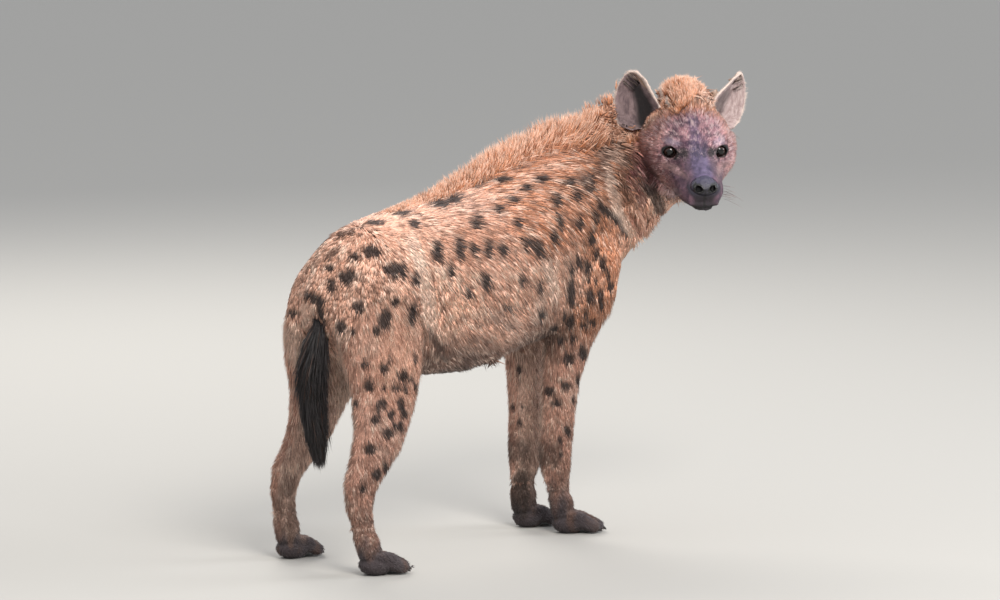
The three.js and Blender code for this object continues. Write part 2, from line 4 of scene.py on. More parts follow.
import bmesh
import bpy
import numpy as np
from bpy.props import FloatProperty, FloatVectorProperty, IntProperty, PointerProperty
from mathutils import Euler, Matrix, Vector
from mathutils.bvhtree import BVHTree


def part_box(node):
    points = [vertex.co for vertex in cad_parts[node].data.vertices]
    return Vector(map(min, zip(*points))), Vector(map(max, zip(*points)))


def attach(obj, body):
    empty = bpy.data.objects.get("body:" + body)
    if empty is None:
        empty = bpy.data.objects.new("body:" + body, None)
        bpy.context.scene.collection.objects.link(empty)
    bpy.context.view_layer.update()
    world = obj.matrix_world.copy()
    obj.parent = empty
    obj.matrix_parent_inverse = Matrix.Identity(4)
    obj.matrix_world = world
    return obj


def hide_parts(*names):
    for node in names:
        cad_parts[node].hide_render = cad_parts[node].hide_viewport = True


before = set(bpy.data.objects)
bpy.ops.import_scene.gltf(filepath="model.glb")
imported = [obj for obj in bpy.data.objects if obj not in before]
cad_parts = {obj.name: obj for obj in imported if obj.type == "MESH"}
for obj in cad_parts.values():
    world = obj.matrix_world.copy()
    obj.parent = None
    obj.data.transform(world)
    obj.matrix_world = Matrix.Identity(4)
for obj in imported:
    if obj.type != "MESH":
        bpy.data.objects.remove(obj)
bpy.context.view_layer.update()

bl_info = {
    "name": "Spotted hyena",
    "version": (1, 0, 0),
    "blender": (4, 5, 0),
    "location": "3D View > Sidebar > Hyena",
    "description": "A standing spotted hyena with its skin, coat, eyes, nose and claws",
    "category": "Add Mesh",
}


def srgb(r, g, b):
    """A colour given as on a screen, 0 to 255, as linear light."""
    c = np.array([r, g, b], float) / 255
    return np.where(c <= 0.04045, c / 12.92, ((c + 0.055) / 1.055) ** 2.4)


# Camera of the picture: the way it looks in degrees, its distance in mm and its lens; then the frame

CAMERA = {"azimuth": -47.0, "pitch": 6.9, "distance": 12200, "lens": 205.5, "target": (77, -78, 534)}
SENSOR = 36.0
PICTURE = (1000, 600)


# Sizes and colours to change

def colour_property(name, description, r, g, b):
    default = tuple(float(c) for c in srgb(r, g, b))
    return FloatVectorProperty(
        name=name, description=description, subtype="COLOR", size=3, min=0, max=1, default=default
    )


def length_property(name, description, default):
    return FloatProperty(name=name, description=description, default=default, unit="LENGTH")


def power_property(name, description, default):
    return FloatProperty(name=name, description=description, default=default, unit="POWER")


def share_property(name, description, low, high):
    return FloatProperty(name=name, description=description, default=1.0, min=low, max=high)


def number_property(name, description, default):
    return IntProperty(name=name, description=description, default=default)


class HyenaSkinSizes(bpy.types.PropertyGroup):
    """Fineness of the skin"""
    body_grain: length_property("Body grain", "Cubes that join trunk, neck and legs", 0.0055)
    head_grain: length_property("Head grain", "Cubes that join head, ears and nape", 0.0023)
    paw_grain: length_property("Paw grain", "Cubes that join each paw to its leg", 0.0024)
    body_triangles: number_property("Body triangles", "Triangles of the body", 86000)
    head_triangles: number_property("Head triangles", "Triangles of the head", 80000)
    paw_triangles: number_property("Paw triangles", "Triangles of each paw", 6000)


class HyenaCoatSizes(bpy.types.PropertyGroup):
    """Width, length and number of the tufts"""
    body_width: length_property("Body tufts", "Width of a tuft on trunk and neck", 0.0029)
    leg_width: length_property("Leg tufts", "Width of a tuft on the legs", 0.0021)
    head_width: length_property("Head tufts", "Width of a tuft on the head", 0.0019)
    length: share_property("Length", "Length of all hair against its own", 0.3, 2.0)
    number: share_property("Number", "Number of tufts against the full coat", 0.05, 1.0)
    contrast: share_property("Contrast", "How far pale and dark locks differ", 0.0, 2.0)


class HyenaColours(bpy.types.PropertyGroup):
    """Colours of skin and hair"""
    sand: colour_property("Sand", "Ground of flanks and haunches", 236, 182, 156)
    orange: colour_property("Orange", "Back, neck and shoulders", 206, 140, 104)
    cream: colour_property("Cream", "Pale locks and tips", 246, 216, 198)
    brown: colour_property("Brown", "Dark locks", 108, 76, 62)
    # Umber: dark of the belly's underside and of the wrists, and painted shade in the folds behind the
    # elbows
    umber: colour_property("Umber", "Belly fringe and folds", 50, 36, 30)
    tan: colour_property("Tan", "Legs", 220, 166, 144)
    spot: colour_property("Spot", "Spots of the coat", 42, 27, 24)
    brush: colour_property("Brush", "Tail brush", 24, 18, 20)
    foot: colour_property("Foot", "Feet", 78, 67, 70)
    gold: colour_property("Gold", "Mane and crest", 222, 146, 98)
    rose: colour_property("Rose", "Cheeks and throat", 190, 124, 106)
    blood: colour_property("Blood", "Dark stains of cheek and neck", 88, 38, 42)


class HyenaStageSizes(bpy.types.PropertyGroup):
    """Camera and lights"""
    lens: FloatProperty(name="Lens", description="Focal length", default=CAMERA["lens"], unit="CAMERA")
    key: power_property("Key light", "Power of the main light", 330.0)
    fill: power_property("Fill light", "Power of the second light", 117.0)
    rim: power_property("Rim light", "Power of the light behind", 190.0)
    catch: power_property("Eye light", "Power of the small light", 24.0)
    sky: FloatProperty(name="Sky", description="Strength of the light all round", default=0.8, min=0.0)


def tone(name, level=1.0):
    """A colour of the coat, by name."""
    return np.array(getattr(bpy.context.scene.hyena_colours, name)) * level


# Fixed colours of bare skin, eyes and horn, and painted shade and a painted highlight of nose, mouth and
# ears, as on a screen, then the dark and pale of mottled hair

BARE_AND_SHADE_TONES = {
    "nose tip": (46, 42, 54),
    "chin": (40, 30, 35),
    "lip": (34, 27, 33),
    "mouth": (18, 14, 16),
    "speck": (234, 204, 204),
    "ear hollow shade": (14, 9, 12),
    "ear rim": (226, 206, 194),
    "eye edge": (40, 26, 24),
    "iris": (50, 34, 30),
    "pupil": (4, 3, 3),
    "nose pad": (30, 28, 36),
    "nose top highlight": (66, 62, 84),
    "nostril": (4, 3, 4),
    "nose crease shade": (6, 5, 7),
    "claw": (46, 40, 38),
}
MOTTLES = {
    "forehead": ((100, 66, 86), (208, 156, 164)),
    "stripe": ((80, 64, 98), (138, 112, 144)),
    "temple": ((176, 112, 106), (240, 182, 166)),
    "cheek": ((128, 78, 84), (222, 168, 162)),
    "stain": ((66, 30, 32), (120, 64, 58)),
    "jaw": ((40, 24, 24), (104, 62, 54)),
    "muzzle": ((62, 46, 64), (112, 86, 102)),
    "bridge": ((48, 42, 74), (120, 108, 142)),
    # The right ear's front is painted darker than the left's: painted shade
    "ear_left": ((134, 108, 108), (206, 186, 182)),
    "ear_right": ((66, 50, 56), (150, 128, 128)),
    "ear back": ((132, 106, 94), (170, 140, 118)),
}


def bare_and_shade_tone(name):
    """A fixed colour by name: of bare skin, eye and horn, and of painted shade and highlight."""
    return srgb(*BARE_AND_SHADE_TONES[name])


def mottled(name, share):
    """A colour from the dark to the pale of some hair, for each share."""
    dark, pale = MOTTLES[name]
    return mix(srgb(*dark), srgb(*pale), share)


# The animal's own frame, in millimetres: +X forward, +Y to its left, +Z up, floor at 0.
# The head has a frame of its own: origin between the eyes, +X along the muzzle, angles in radians.

HEAD_AT = (519, -243, 833)
HEAD_TURN = math.radians(-126)
HEAD_DROP = math.radians(15.5)
EYE_AT = (-5, 54, 0)
EYE_RADIUS = 15

HEAD_ROTATION = np.array(Euler((0, HEAD_DROP, HEAD_TURN), "XYZ").to_matrix())


def eye_place(side, ahead=0):
    """Centre of the left eye, 1, or the right, -1, or a place ahead of it, head frame."""
    return np.array([EYE_AT[0] + ahead, side * EYE_AT[1], EYE_AT[2]])


def from_head(points):
    """Head frame, mm, to body frame, mm."""
    return np.asarray(points, float) @ HEAD_ROTATION.T + np.array(HEAD_AT, float)


def to_head(points):
    """Body frame, mm, to head frame, mm."""
    return (np.asarray(points, float) - np.array(HEAD_AT, float)) @ HEAD_ROTATION


EYE_LOW, EYE_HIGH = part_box("eye_left")
SHIFT = np.array((EYE_LOW + EYE_HIGH) / 2) * 1000 - from_head(EYE_AT)


def to_world(points):
    """Body frame, mm, to the scene's metres."""
    return (np.asarray(points, float) + SHIFT) / 1000


def to_body(points):
    """The scene's metres to the body frame, mm."""
    return np.asarray(points, float) * 1000 - SHIFT


# Axes of the body's parts: places in the body frame with the radius there, all in mm

LIMBS = ["front_leg_right", "front_leg_left", "hind_leg_right", "hind_leg_left"]
AXES = {
    "trunk": [
        (-370, 0, 560, 90),
        (-200, 0, 563, 150),
        (25, 0, 578, 170),
        (240, -6, 637, 170),
        (400, -20, 680, 130),
    ],
    "neck": [(430, -18, 700, 120), (520, -60, 800, 105), (556, -130, 838, 92)],
    "front_leg_right": [(335, -80, 470, 75), (308, -50, 350, 42), (298, -42, 185, 33), (304, -47, 60, 30)],
    "front_leg_left": [(320, 86, 470, 75), (310, 72, 350, 42), (305, 67, 185, 33), (306, 66, 60, 30)],
    "hind_leg_right": [
        (-290, -100, 470, 110), (-302, -100, 358, 75), (-390, -118, 190, 40), (-380, -125, 60, 30)
    ],
    "hind_leg_left": [
        (-282, 100, 470, 110), (-286, 102, 358, 75), (-346, 142, 190, 38), (-344, 149, 60, 30)
    ],
    "tail": [(-384, 0, 560, 20), (-408, 0, 470, 16), (-418, -5, 365, 18), (-404, -4, 250, 10)],
}
EARS = {"ear_left": 1, "ear_right": -1}
PARTS = [*AXES, "head", *EARS]
HEAD = PARTS.index("head")  # only the ears have higher numbers

# Each part's tile of the unwrap: corner, width and height
TILES = {
    "trunk": (0.01, 0.01, 0.58, 0.48),
    "neck": (0.61, 0.01, 0.38, 0.26),
    "head": (0.61, 0.29, 0.38, 0.34),
    "hind_leg_right": (0.01, 0.51, 0.19, 0.48),
    "hind_leg_left": (0.21, 0.51, 0.19, 0.48),
    "front_leg_right": (0.41, 0.51, 0.18, 0.34),
    "front_leg_left": (0.61, 0.65, 0.18, 0.34),
    "ear_left": (0.81, 0.65, 0.18, 0.16),
    "ear_right": (0.81, 0.83, 0.18, 0.16),
    "tail": (0.41, 0.87, 0.18, 0.12),
}

# Paws: their leg, place and turn in degrees, then the toes' place across and reach, in mm
PAWS = {
    "paw_front_right": ("front_leg_right", (308, -50), -32),
    "paw_front_left": ("front_leg_left", (308, 66), -10),
    "paw_hind_right": ("hind_leg_right", (-374, -128), -14),
    "paw_hind_left": ("hind_leg_left", (-340, 148), 3),
}
TOES = [(-27, 62), (-10, 77), (10, 77), (27, 62)]
TOE_GAPS = (-18.5, 0, 18.5)


# Small tools

def unit(v):
    return v / np.maximum(np.linalg.norm(v, axis=-1, keepdims=True), 1e-9)


def smoothstep(low, high, x):
    t = np.clip((x - low) / (high - low), 0, 1)
    return t * t * (3 - 2 * t)


def mix(a, b, share):
    return a + (b - a) * np.asarray(share)[:, None]


def read_off(table, at):
    """Values at some places, from a table with rows of a place and its value."""
    return np.interp(at, *np.array(table, float).T)


def in_radii(points, place, radii):
    """Distance from a place, as a share of the radii about it."""
    return np.linalg.norm((points - place) / radii, axis=1)


def is_part(part, *names):
    """Whether part numbers are those of the named parts."""
    return np.isin(part, [PARTS.index(name) for name in names])


def turned(axis, degrees):
    """Rotation about an axis, 0 to 2, as a matrix."""
    angles = [0.0, 0.0, 0.0]
    angles[axis] = math.radians(degrees)
    return np.array(Euler(angles, "XYZ").to_matrix())


def link(name, mesh):
    piece = bpy.data.objects.new(name, mesh)
    bpy.context.scene.collection.objects.link(piece)
    return piece


def mesh_of(name, points, faces, tints=None, uv=None):
    """A smooth mesh from points in metres and triangles; each point has a colour and an OFBake place."""
    mesh = bpy.data.meshes.new(name)
    mesh.vertices.add(len(points))
    mesh.vertices.foreach_set("co", np.asarray(points, np.float32).ravel())
    mesh.loops.add(faces.size)
    mesh.loops.foreach_set("vertex_index", faces.astype(np.int32).ravel())
    mesh.polygons.add(len(faces))
    mesh.polygons.foreach_set("loop_start", np.arange(0, faces.size, 3, dtype=np.int32))
    mesh.polygons.foreach_set("use_smooth", np.ones(len(faces), bool))
    mesh.update(calc_edges=True)
    if tints is not None:
        tint_mesh(mesh, tints)
    if uv is not None:
        layer = mesh.uv_layers.new(name="OFBake")
        layer.uv.foreach_set("vector", uv[faces.ravel()].astype(np.float32).ravel())
    mesh.validate()
    return mesh


def tint_mesh(mesh, tints):
    colours = np.ones((len(tints), 4), np.float32)
    colours[:, :3] = tints
    layer = mesh.color_attributes.new("tint", "FLOAT_COLOR", "POINT")
    layer.data.foreach_set("color", colours.ravel())


def rows_of(items, key, kind, width):
    """Values of a mesh's points, edges or triangles, a row for each."""
    values = np.empty(len(items) * width, kind)
    items.foreach_get(key, values)
    return values.reshape(-1, width)


def points_of(mesh):
    return rows_of(mesh.vertices, "co", np.float32, 3).astype(float)


def normals_of(mesh):
    return rows_of(mesh.vertices, "normal", np.float32, 3).astype(float)


def edges_of(mesh):
    return rows_of(mesh.edges, "vertices", np.int32, 2)


def move_to(mesh, points):
    mesh.vertices.foreach_set("co", np.asarray(points, np.float32).ravel())
    mesh.update()


def relax(points, edges, weight, rounds):
    """Moves each point towards the middle of its neighbours, by its weight, some rounds over."""
    a, b = edges[:, 0], edges[:, 1]
    moving = weight > 1e-3
    near = moving[a] | moving[b]
    a, b = a[near], b[near]
    count = np.maximum(np.bincount(a, minlength=len(points)) + np.bincount(b, minlength=len(points)), 1)
    for _ in range(rounds):
        total = np.empty_like(points)
        for axis in range(3):
            total[:, axis] = np.bincount(a, points[b, axis], len(points))
            total[:, axis] += np.bincount(b, points[a, axis], len(points))
        points = points + (weight * moving)[:, None] * (total / count[:, None] - points)
    return points


def value_noise(points, size, seed):
    """Smooth random values from 0 to 1 with features of about size, in the points' unit."""
    table = np.random.default_rng(seed).random(4096)
    spot = points / size
    cell = np.floor(spot).astype(np.int64)
    share = spot - cell
    share = share * share * (3 - 2 * share)
    value = np.zeros(len(points))
    for corner in range(8):
        step = np.array([corner & 1, corner >> 1 & 1, corner >> 2 & 1])
        key = (cell + step) @ np.array([73856093, 19349663, 83492791])
        weight = np.where(step, share, 1 - share).prod(1)
        value += weight * table[key % 4096]
    return value


def deselect():
    bpy.ops.object.select_all(action="DESELECT")


def activate(piece):
    deselect()
    piece.select_set(True)
    bpy.context.view_layer.objects.active = piece


def join(pieces, name):
    """One object out of several."""
    activate(pieces[0])
    for piece in pieces[1:]:
        piece.select_set(True)
    if len(pieces) > 1:
        bpy.ops.object.join()
    whole = bpy.context.object
    whole.name = name
    return whole


def apply_modifier(piece, kind, **settings):
    """Adds a modifier with its settings and applies it."""
    modifier = piece.modifiers.new(kind.lower(), kind)
    for key, value in settings.items():
        setattr(modifier, key, value)
    activate(piece)
    bpy.ops.object.modifier_apply(modifier=modifier.name)


def tube_faces(rings, sides):
    """Triangles of a closed tube of points laid ring by ring."""
    faces = []
    for i in range(rings - 1):
        for j in range(sides):
            a, b = i * sides + j, i * sides + (j + 1) % sides
            faces += [(a, b + sides, b), (a, a + sides, b + sides)]
    last = (rings - 1) * sides
    for j in range(1, sides - 1):
        faces += [(0, j, j + 1), (last, last + j + 1, last + j)]
    return np.array(faces)


# Ears: a cupped sheet between an inner and an outer edge, given as height and reach out

EAR_OUTER = [(0, 14), (16, 48), (44, 60), (78, 53), (106, 38), (126, 18), (134, 10)]
EAR_INNER = [(0, -26), (26, -54), (52, -62), (82, -40), (108, -22), (126, -2), (134, 9)]
EAR_CUP = 26
EAR_BACK = 12
EAR_TALL = 134

# Place of the left ear, 1, and the right, -1, with how far it leans, tips and turns out, in degrees
EAR_FRAMES = {
    1: ((-101, 79, 14), 34, -1, 38),
    -1: ((-101, -104, 11), 19, -11, 41),
}


def ear_axes(side):
    """Columns: the way ahead of the sheet, the way out and the way up, head frame."""
    _, lean, tip, out = EAR_FRAMES[side]
    made = turned(2, side * out) @ turned(1, tip) @ turned(0, -side * lean)
    return made * [1, side, 1]


def on_ear(head, side):
    """Places ahead of the ear's sheet, across it from -1 to 1 and up it, and its half width there."""
    place = (head - np.array(EAR_FRAMES[side][0], float)) @ ear_axes(side)
    ahead, out, up = place.T
    low = read_off(EAR_INNER, up)
    high = read_off(EAR_OUTER, up)
    half = np.maximum((high - low) / 2, 1)
    across = (out - (high + low) / 2) / half
    rise = np.clip(up / EAR_TALL, 0, 1)
    sheet = -EAR_CUP * np.clip(1 - across**2, 0, 1) * (1 - 0.5 * rise) - EAR_BACK * rise**2
    return ahead - sheet, across, up, half


def along_axis(points, axis):
    """Distance from an axis as a share of its radius, share of its length, and the offset from it."""
    stations = np.array(axis, float)
    best = np.full(len(points), np.inf)
    share = np.zeros(len(points))
    offset = np.zeros((len(points), 3))
    for i in range(len(stations) - 1):
        a, b = stations[i, :3], stations[i + 1, :3]
        t = np.clip((points - a) @ (b - a) / ((b - a) @ (b - a)), 0, 1)
        off = points - (a + t[:, None] * (b - a))
        radius = stations[i, 3] + t * (stations[i + 1, 3] - stations[i, 3])
        near = np.linalg.norm(off, axis=1) / radius
        closer = near < best
        best = np.where(closer, near, best)
        share = np.where(closer, (i + t) / (len(stations) - 1), share)
        offset[closer] = off[closer]
    return best, share, offset


# Balls that hold the skull and what lies below the ears, and a box round the muzzle, head frame
SKULL = ((-52, 0, -14), (118, 116, 116))
SCALP = ((-60, 0, -12), (120, 103, 98))
MUZZLE_MIDDLE = (75, 0, -45)
MUZZLE_HALF = 80


def part_of(points):
    """The number in PARTS of the part that each point of the body lies on."""
    near = np.stack([along_axis(points, axis)[0] for axis in AXES.values()])
    part = near.argmin(0)
    head = to_head(points)
    muzzle = np.abs(head - MUZZLE_MIDDLE).max(1) < MUZZLE_HALF
    part[(in_radii(head, *SKULL) < 1) | muzzle] = HEAD
    beyond = in_radii(head, *SCALP) > 1.06
    for name, side in EARS.items():
        before, across, up, half = on_ear(head, side)
        wide = np.where(across > 0, 3, 9 + 19 * (up > 45)) / half
        flat = (np.abs(before) < np.where(up > 60, 24, 13)) & (np.abs(across) < 1 + wide)
        flat &= (up > 2) & (up < EAR_TALL + 9)
        part[flat & beyond] = PARTS.index(name)
    return part


def unwrap(points, part):
    """Places on an unwrap of the skin: round and along each part's axis, in its own tile."""
    uv = np.zeros((len(points), 2))
    head = to_head(points)
    for number, name in enumerate(PARTS):
        on = part == number
        if not on.any():
            continue
        if name in AXES:
            _, v, off = along_axis(points[on], AXES[name])
            angle = np.arctan2(off[:, 1], off[:, 2] if name in ("trunk", "neck") else off[:, 0])
            u = angle / (2 * math.pi) + 0.5
        elif name == "head":
            spot = head[on] - [-20, 0, -25]
            v = np.clip((spot[:, 0] + 150) / 300, 0, 1)
            u = np.arctan2(spot[:, 1], spot[:, 2]) / (2 * math.pi) + 0.5
        else:
            before, across, up, _ = on_ear(head[on], EARS[name])
            v = np.clip(up / (EAR_TALL + 10), 0, 1)
            u = 0.25 + 0.22 * np.clip(across, -1, 1) + 0.5 * (before < 0)
        u0, v0, du, dv = TILES[name]
        uv[on, 0] = u0 + du * u
        uv[on, 1] = v0 + dv * v
    return uv


def cut_off(work, place, normal):
    """Drops what lies beyond a plane from a mesh being worked on, and closes the hole."""
    geometry = [*work.verts, *work.edges, *work.faces]
    done = bmesh.ops.bisect_plane(
        work, geom=geometry, plane_co=place, plane_no=normal, clear_outer=True
    )
    rim = [e for e in done["geom_cut"] if isinstance(e, bmesh.types.BMEdge)]
    bmesh.ops.holes_fill(work, edges=rim)


def flesh(name, nodes, grow, grain, cut=None):
    """One closed skin round copies of some nodes, each a little larger, with cubes of size grain.

    cut has a plane's place and normal, and the nodes that end at it.
    """
    copies = []
    for node in nodes:
        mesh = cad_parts[node].data.copy()
        mesh.materials.clear()
        work = bmesh.new()
        work.from_mesh(mesh)
        bmesh.ops.remove_doubles(work, verts=work.verts, dist=1e-5)
        work.normal_update()
        for vert in work.verts:
            vert.co += vert.normal * grow
        if cut and node in cut[2]:
            cut_off(work, *cut[:2])
        work.to_mesh(mesh)
        work.free()
        copies.append(link(node + "_copy", mesh))
    shell = join(copies, name)
    apply_modifier(shell, "REMESH", mode="VOXEL", voxel_size=grain, use_smooth_shade=True)
    return shell


# Places seen through the camera

def camera_axes():
    """The ways to the right, up and back of the camera, body frame."""
    turn, pitch = math.radians(CAMERA["azimuth"]), math.radians(CAMERA["pitch"])
    back = np.array(
        [math.sin(turn) * math.cos(pitch), -math.cos(turn) * math.cos(pitch), math.sin(pitch)]
    )
    right = unit(np.cross([0, 0, 1], back))
    return right, np.cross(back, right), back


RIGHT, UPWARD, BACK = camera_axes()
EYEPOINT = np.array(CAMERA["target"], float) + BACK * CAMERA["distance"]
PIXEL = SENSOR / PICTURE[0] / CAMERA["lens"]  # size of a picture point at distance 1


def ray(px, py):
    """Direction through a point of the picture, body frame."""
    x, y = (px - PICTURE[0] / 2) * PIXEL, (PICTURE[1] / 2 - py) * PIXEL
    return unit(-BACK + RIGHT * x + UPWARD * y)


# Coat: guides of the lie. Each has a place, the way the hair runs, its length and how much of
# the length stands off the skin. Those of the trunk serve both sides.

TRUNK_GUIDES = [
    ((-385, -40, 620), (-0.35, 0, -0.9), 20, 0.2),
    ((-340, -60, 680), (-0.3, 0, -0.95), 24, 0.2),
    ((-230, -70, 735), (0.55, 0, -0.6), 26, 0.22),
    ((-230, -130, 660), (0.35, 0, -0.93), 32, 0.22),
    ((-340, -110, 600), (0.1, 0, -1), 26, 0.2),
    ((-260, -145, 560), (0.25, 0, -0.97), 30, 0.2),
    ((-300, -150, 440), (0.1, 0, -1), 24, 0.18),
    ((-160, -140, 560), (0.45, 0, -0.9), 36, 0.22),
    ((-180, -130, 440), (0.1, 0, -1), 30, 0.2),
    ((-110, -70, 745), (0.85, 0, -0.45), 34, 0.24),
    ((0, -70, 755), (0.88, 0, -0.42), 38, 0.24),
    ((-60, -110, 700), (0.75, 0, -0.66), 40, 0.24),
    ((100, -100, 740), (0.85, 0, -0.5), 42, 0.26),
    ((220, -90, 800), (0.85, 0, -0.5), 44, 0.28),
    ((350, -90, 820), (0.75, 0, -0.65), 42, 0.28),
    ((220, -135, 710), (0.6, 0, -0.8), 42, 0.26),
    ((-60, -150, 600), (0.56, 0, -0.83), 42, 0.22),
    ((80, -150, 620), (0.56, 0, -0.83), 44, 0.22),
    ((200, -150, 640), (0.5, 0, -0.86), 42, 0.22),
    ((330, -135, 680), (0.35, 0, -0.93), 34, 0.2),
    ((330, -140, 600), (0.2, 0, -0.98), 30, 0.18),
    ((-80, -140, 470), (0.75, 0, -0.66), 44, 0.24),
    ((60, -140, 470), (0.78, 0, -0.62), 44, 0.24),
    ((190, -140, 520), (0.5, 0, -0.86), 40, 0.24),
    ((-60, -70, 400), (0.7, 0, -0.7), 38, 0.3),
    ((80, -70, 405), (0.7, 0, -0.7), 38, 0.3),
    ((0, 0, 385), (0.7, 0, -0.6), 30, 0.35),
    ((-180, -40, 405), (0.5, 0, -0.85), 30, 0.3),
    ((180, -40, 430), (0.4, 0, -0.9), 30, 0.3),
    ((340, -135, 520), (0.15, 0, -1), 26, 0.18),
    ((400, -60, 540), (0, 0, -1), 30, 0.22),
    ((470, -60, 640), (0.1, 0, -1), 30, 0.22),
]
NECK_GUIDES = [
    ((420, -110, 850), (0.6, -0.3, -0.6), 40, 0.26),
    ((440, -130, 780), (0.45, -0.3, -0.85), 36, 0.22),
    ((500, -150, 740), (0.3, -0.3, -0.9), 32, 0.2),
    ((470, -150, 860), (0.55, -0.5, -0.55), 36, 0.24),
    ((560, -190, 740), (0.1, -0.1, -1), 26, 0.16),
    ((520, 40, 800), (0.5, -0.3, -0.8), 40, 0.26),
    ((620, -60, 820), (0.2, -0.4, -0.9), 36, 0.24),
    ((640, -150, 840), (0.1, -0.3, -0.9), 32, 0.22),
    ((590, -150, 720), (0, 0.2, -1), 24, 0.15),
    ((600, -200, 760), (-0.1, 0.2, -1), 20, 0.14),
    ((470, -100, 900), (0.5, -0.5, 0.1), 40, 0.35),
    ((480, -220, 820), (0.1, -0.2, -0.97), 28, 0.2),
    ((530, -270, 730), (0, 0, -1), 22, 0.18),
]

# Length of the hair on the legs by height, and on the head by the place along it
LEG_LENGTHS = [(0, 6), (40, 10), (90, 15), (150, 18), (250, 19), (340, 21), (470, 26)]
HEAD_LENGTHS = [(-150, 34), (-110, 32), (-80, 28), (-45, 19), (-15, 11), (20, 7), (60, 4), (130, 2.6)]
EAR_HAIR = 4.5

# The way the hair runs on legs and feet, and the share of short hair that stands off
LEG_WAY = (0.12, 0, -1.0)
FOOT_WAY = (0.8, 0, -0.5)
LEG_LIFT = 0.24
HEAD_LIFT = 0.26
EAR_LIFT = 0.14


def both_sides(guides):
    """Rows with a place and a way first, then the same rows mirrored to the other side."""
    flip = np.array([1, -1, 1])
    mirrored = [(np.array(at) * flip, np.array(way) * flip, *rest) for at, way, *rest in guides]
    return [*guides, *mirrored]


def spread(points, places, values, reach=55.0):
    """Values known at some places, blended at the points by how near each place is."""
    places, values = np.array(places, float), np.array(values, float)
    result = np.empty((len(points), values.shape[1]))
    for start in range(0, len(points), 20000):
        some = points[start : start + 20000]
        square = ((some[:, None, :] - places[None]) ** 2).sum(2)
        weight = 1 / (square + reach**2 / 8) ** 2
        result[start : start + 20000] = weight @ values / weight.sum(1, keepdims=True)
    return result


def lie(points, normals, part):
    """The way the hair runs over the skin, its length in mm and the share that stands off."""
    guides = both_sides(TRUNK_GUIDES) + NECK_GUIDES
    values = [(*unit(np.array(way, float)), length, lift) for _, way, length, lift in guides]
    field = spread(points, [at for at, *_ in guides], values)
    way, length, lift = field[:, :3], field[:, 3], field[:, 4]
    low = smoothstep(500, 400, points[:, 2]) * is_part(part, *LIMBS)
    way = mix(way, np.array(LEG_WAY), low)
    length = length + low * (read_off(LEG_LENGTHS, points[:, 2]) - length)
    lift = lift + low * (LEG_LIFT - lift)
    way = mix(way, np.array(FOOT_WAY), smoothstep(50, 30, points[:, 2]))
    head = to_head(points)
    on_head = part >= HEAD
    outward = unit(head * [0, 0.6, 0.7] + [-45, 0, 0]) @ HEAD_ROTATION.T
    back = smoothstep(-40, -105, head[:, 0])
    way = np.where(on_head[:, None], mix(outward, unit(way), back * 0.8), way)
    cheeks = smoothstep(62, 96, np.abs(head[:, 1])) * smoothstep(25, -35, head[:, 0])
    cheeks *= smoothstep(50, 0, head[:, 2])
    length = np.where(on_head, read_off(HEAD_LENGTHS, head[:, 0]) + 9 * cheeks, length)
    lift = np.where(on_head, HEAD_LIFT, lift)
    for name, side in EARS.items():
        ear = is_part(part, name)
        if ear.any():
            across = on_ear(head[ear], side)[1]
            way[ear] = (ear_axes(side) @ [0, 0.8, 0.6]) @ HEAD_ROTATION.T
            length[ear] = EAR_HAIR + 4.5 * smoothstep(0.82, 1.0, np.abs(across))
            lift[ear] = EAR_LIFT
    way = way - (way * normals).sum(1, keepdims=True) * normals
    return unit(way), length * bpy.context.scene.hyena_coat.length, lift


# Markings: ground colours at places of the coat with their level, for both sides, then for the neck

GROUNDS = [
    ((-385, -40, 620), "sand", 0.8),
    ((-340, -70, 680), "sand", 0.9),
    ((-230, -100, 720), "sand", 1.0),
    ((-260, -140, 560), "sand", 1.0),
    ((-300, -150, 440), "tan", 1.05),
    ((-60, -60, 750), "sand", 0.95),
    ((150, -60, 800), "orange", 1.0),
    ((300, -60, 850), "orange", 1.1),
    ((-60, -130, 660), "sand", 0.98),
    ((150, -140, 700), "orange", 1.08),
    ((-130, -145, 560), "sand", 1.12),
    ((60, -150, 560), "sand", 1.0),
    ((0, -135, 470), "sand", 0.95),
    ((0, -90, 410), "brown", 1.0),
    ((0, -30, 385), "umber", 1.5),
    ((180, -60, 430), "brown", 0.9),
    ((-180, -60, 410), "brown", 0.9),
    ((240, -145, 560), "sand", 0.95),
    ((330, -140, 640), "orange", 1.05),
    ((330, -130, 740), "orange", 1.0),
    ((340, -130, 500), "orange", 0.98),
    ((320, -90, 340), "tan", 1.0),
    ((300, -80, 200), "tan", 0.9),
    ((-300, -140, 330), "tan", 1.0),
    ((-380, -130, 200), "tan", 0.9),
    ((-380, -130, 90), "tan", 0.72),
    ((470, -60, 600), "sand", 1.15),
]
NECK_GROUNDS = [
    ((440, -130, 860), "orange", 0.72),
    ((420, -140, 780), "orange", 0.85),
    ((540, -190, 760), "brown", 1.3),
    ((500, -130, 700), "sand", 0.95),
    ((560, 20, 800), "orange", 1.0),
    ((640, -100, 800), "sand", 1.0),
    ((590, -150, 700), "sand", 1.1),
    ((470, -215, 800), "sand", 0.72),
]

# Soft patches: place, radii, colour, its level and how much of it shows
PATCHES = [
    # The first patch darkens the belly's underside; the second is painted shade in the folds behind the
    # elbows
    ((-40, 0, 375), (200, 120, 30), "umber", 1.0, 0.8),
    ((245, -60, 440), (60, 70, 30), "umber", 1.0, 0.6),
    ((-296, -130, 430), (95, 80, 110), "sand", 1.12, 0.6),
    ((-64, -140, 680), (130, 60, 60), "orange", 0.8, 0.45),
    ((358, -100, 590), (60, 60, 80), "orange", 1.3, 0.6),
]

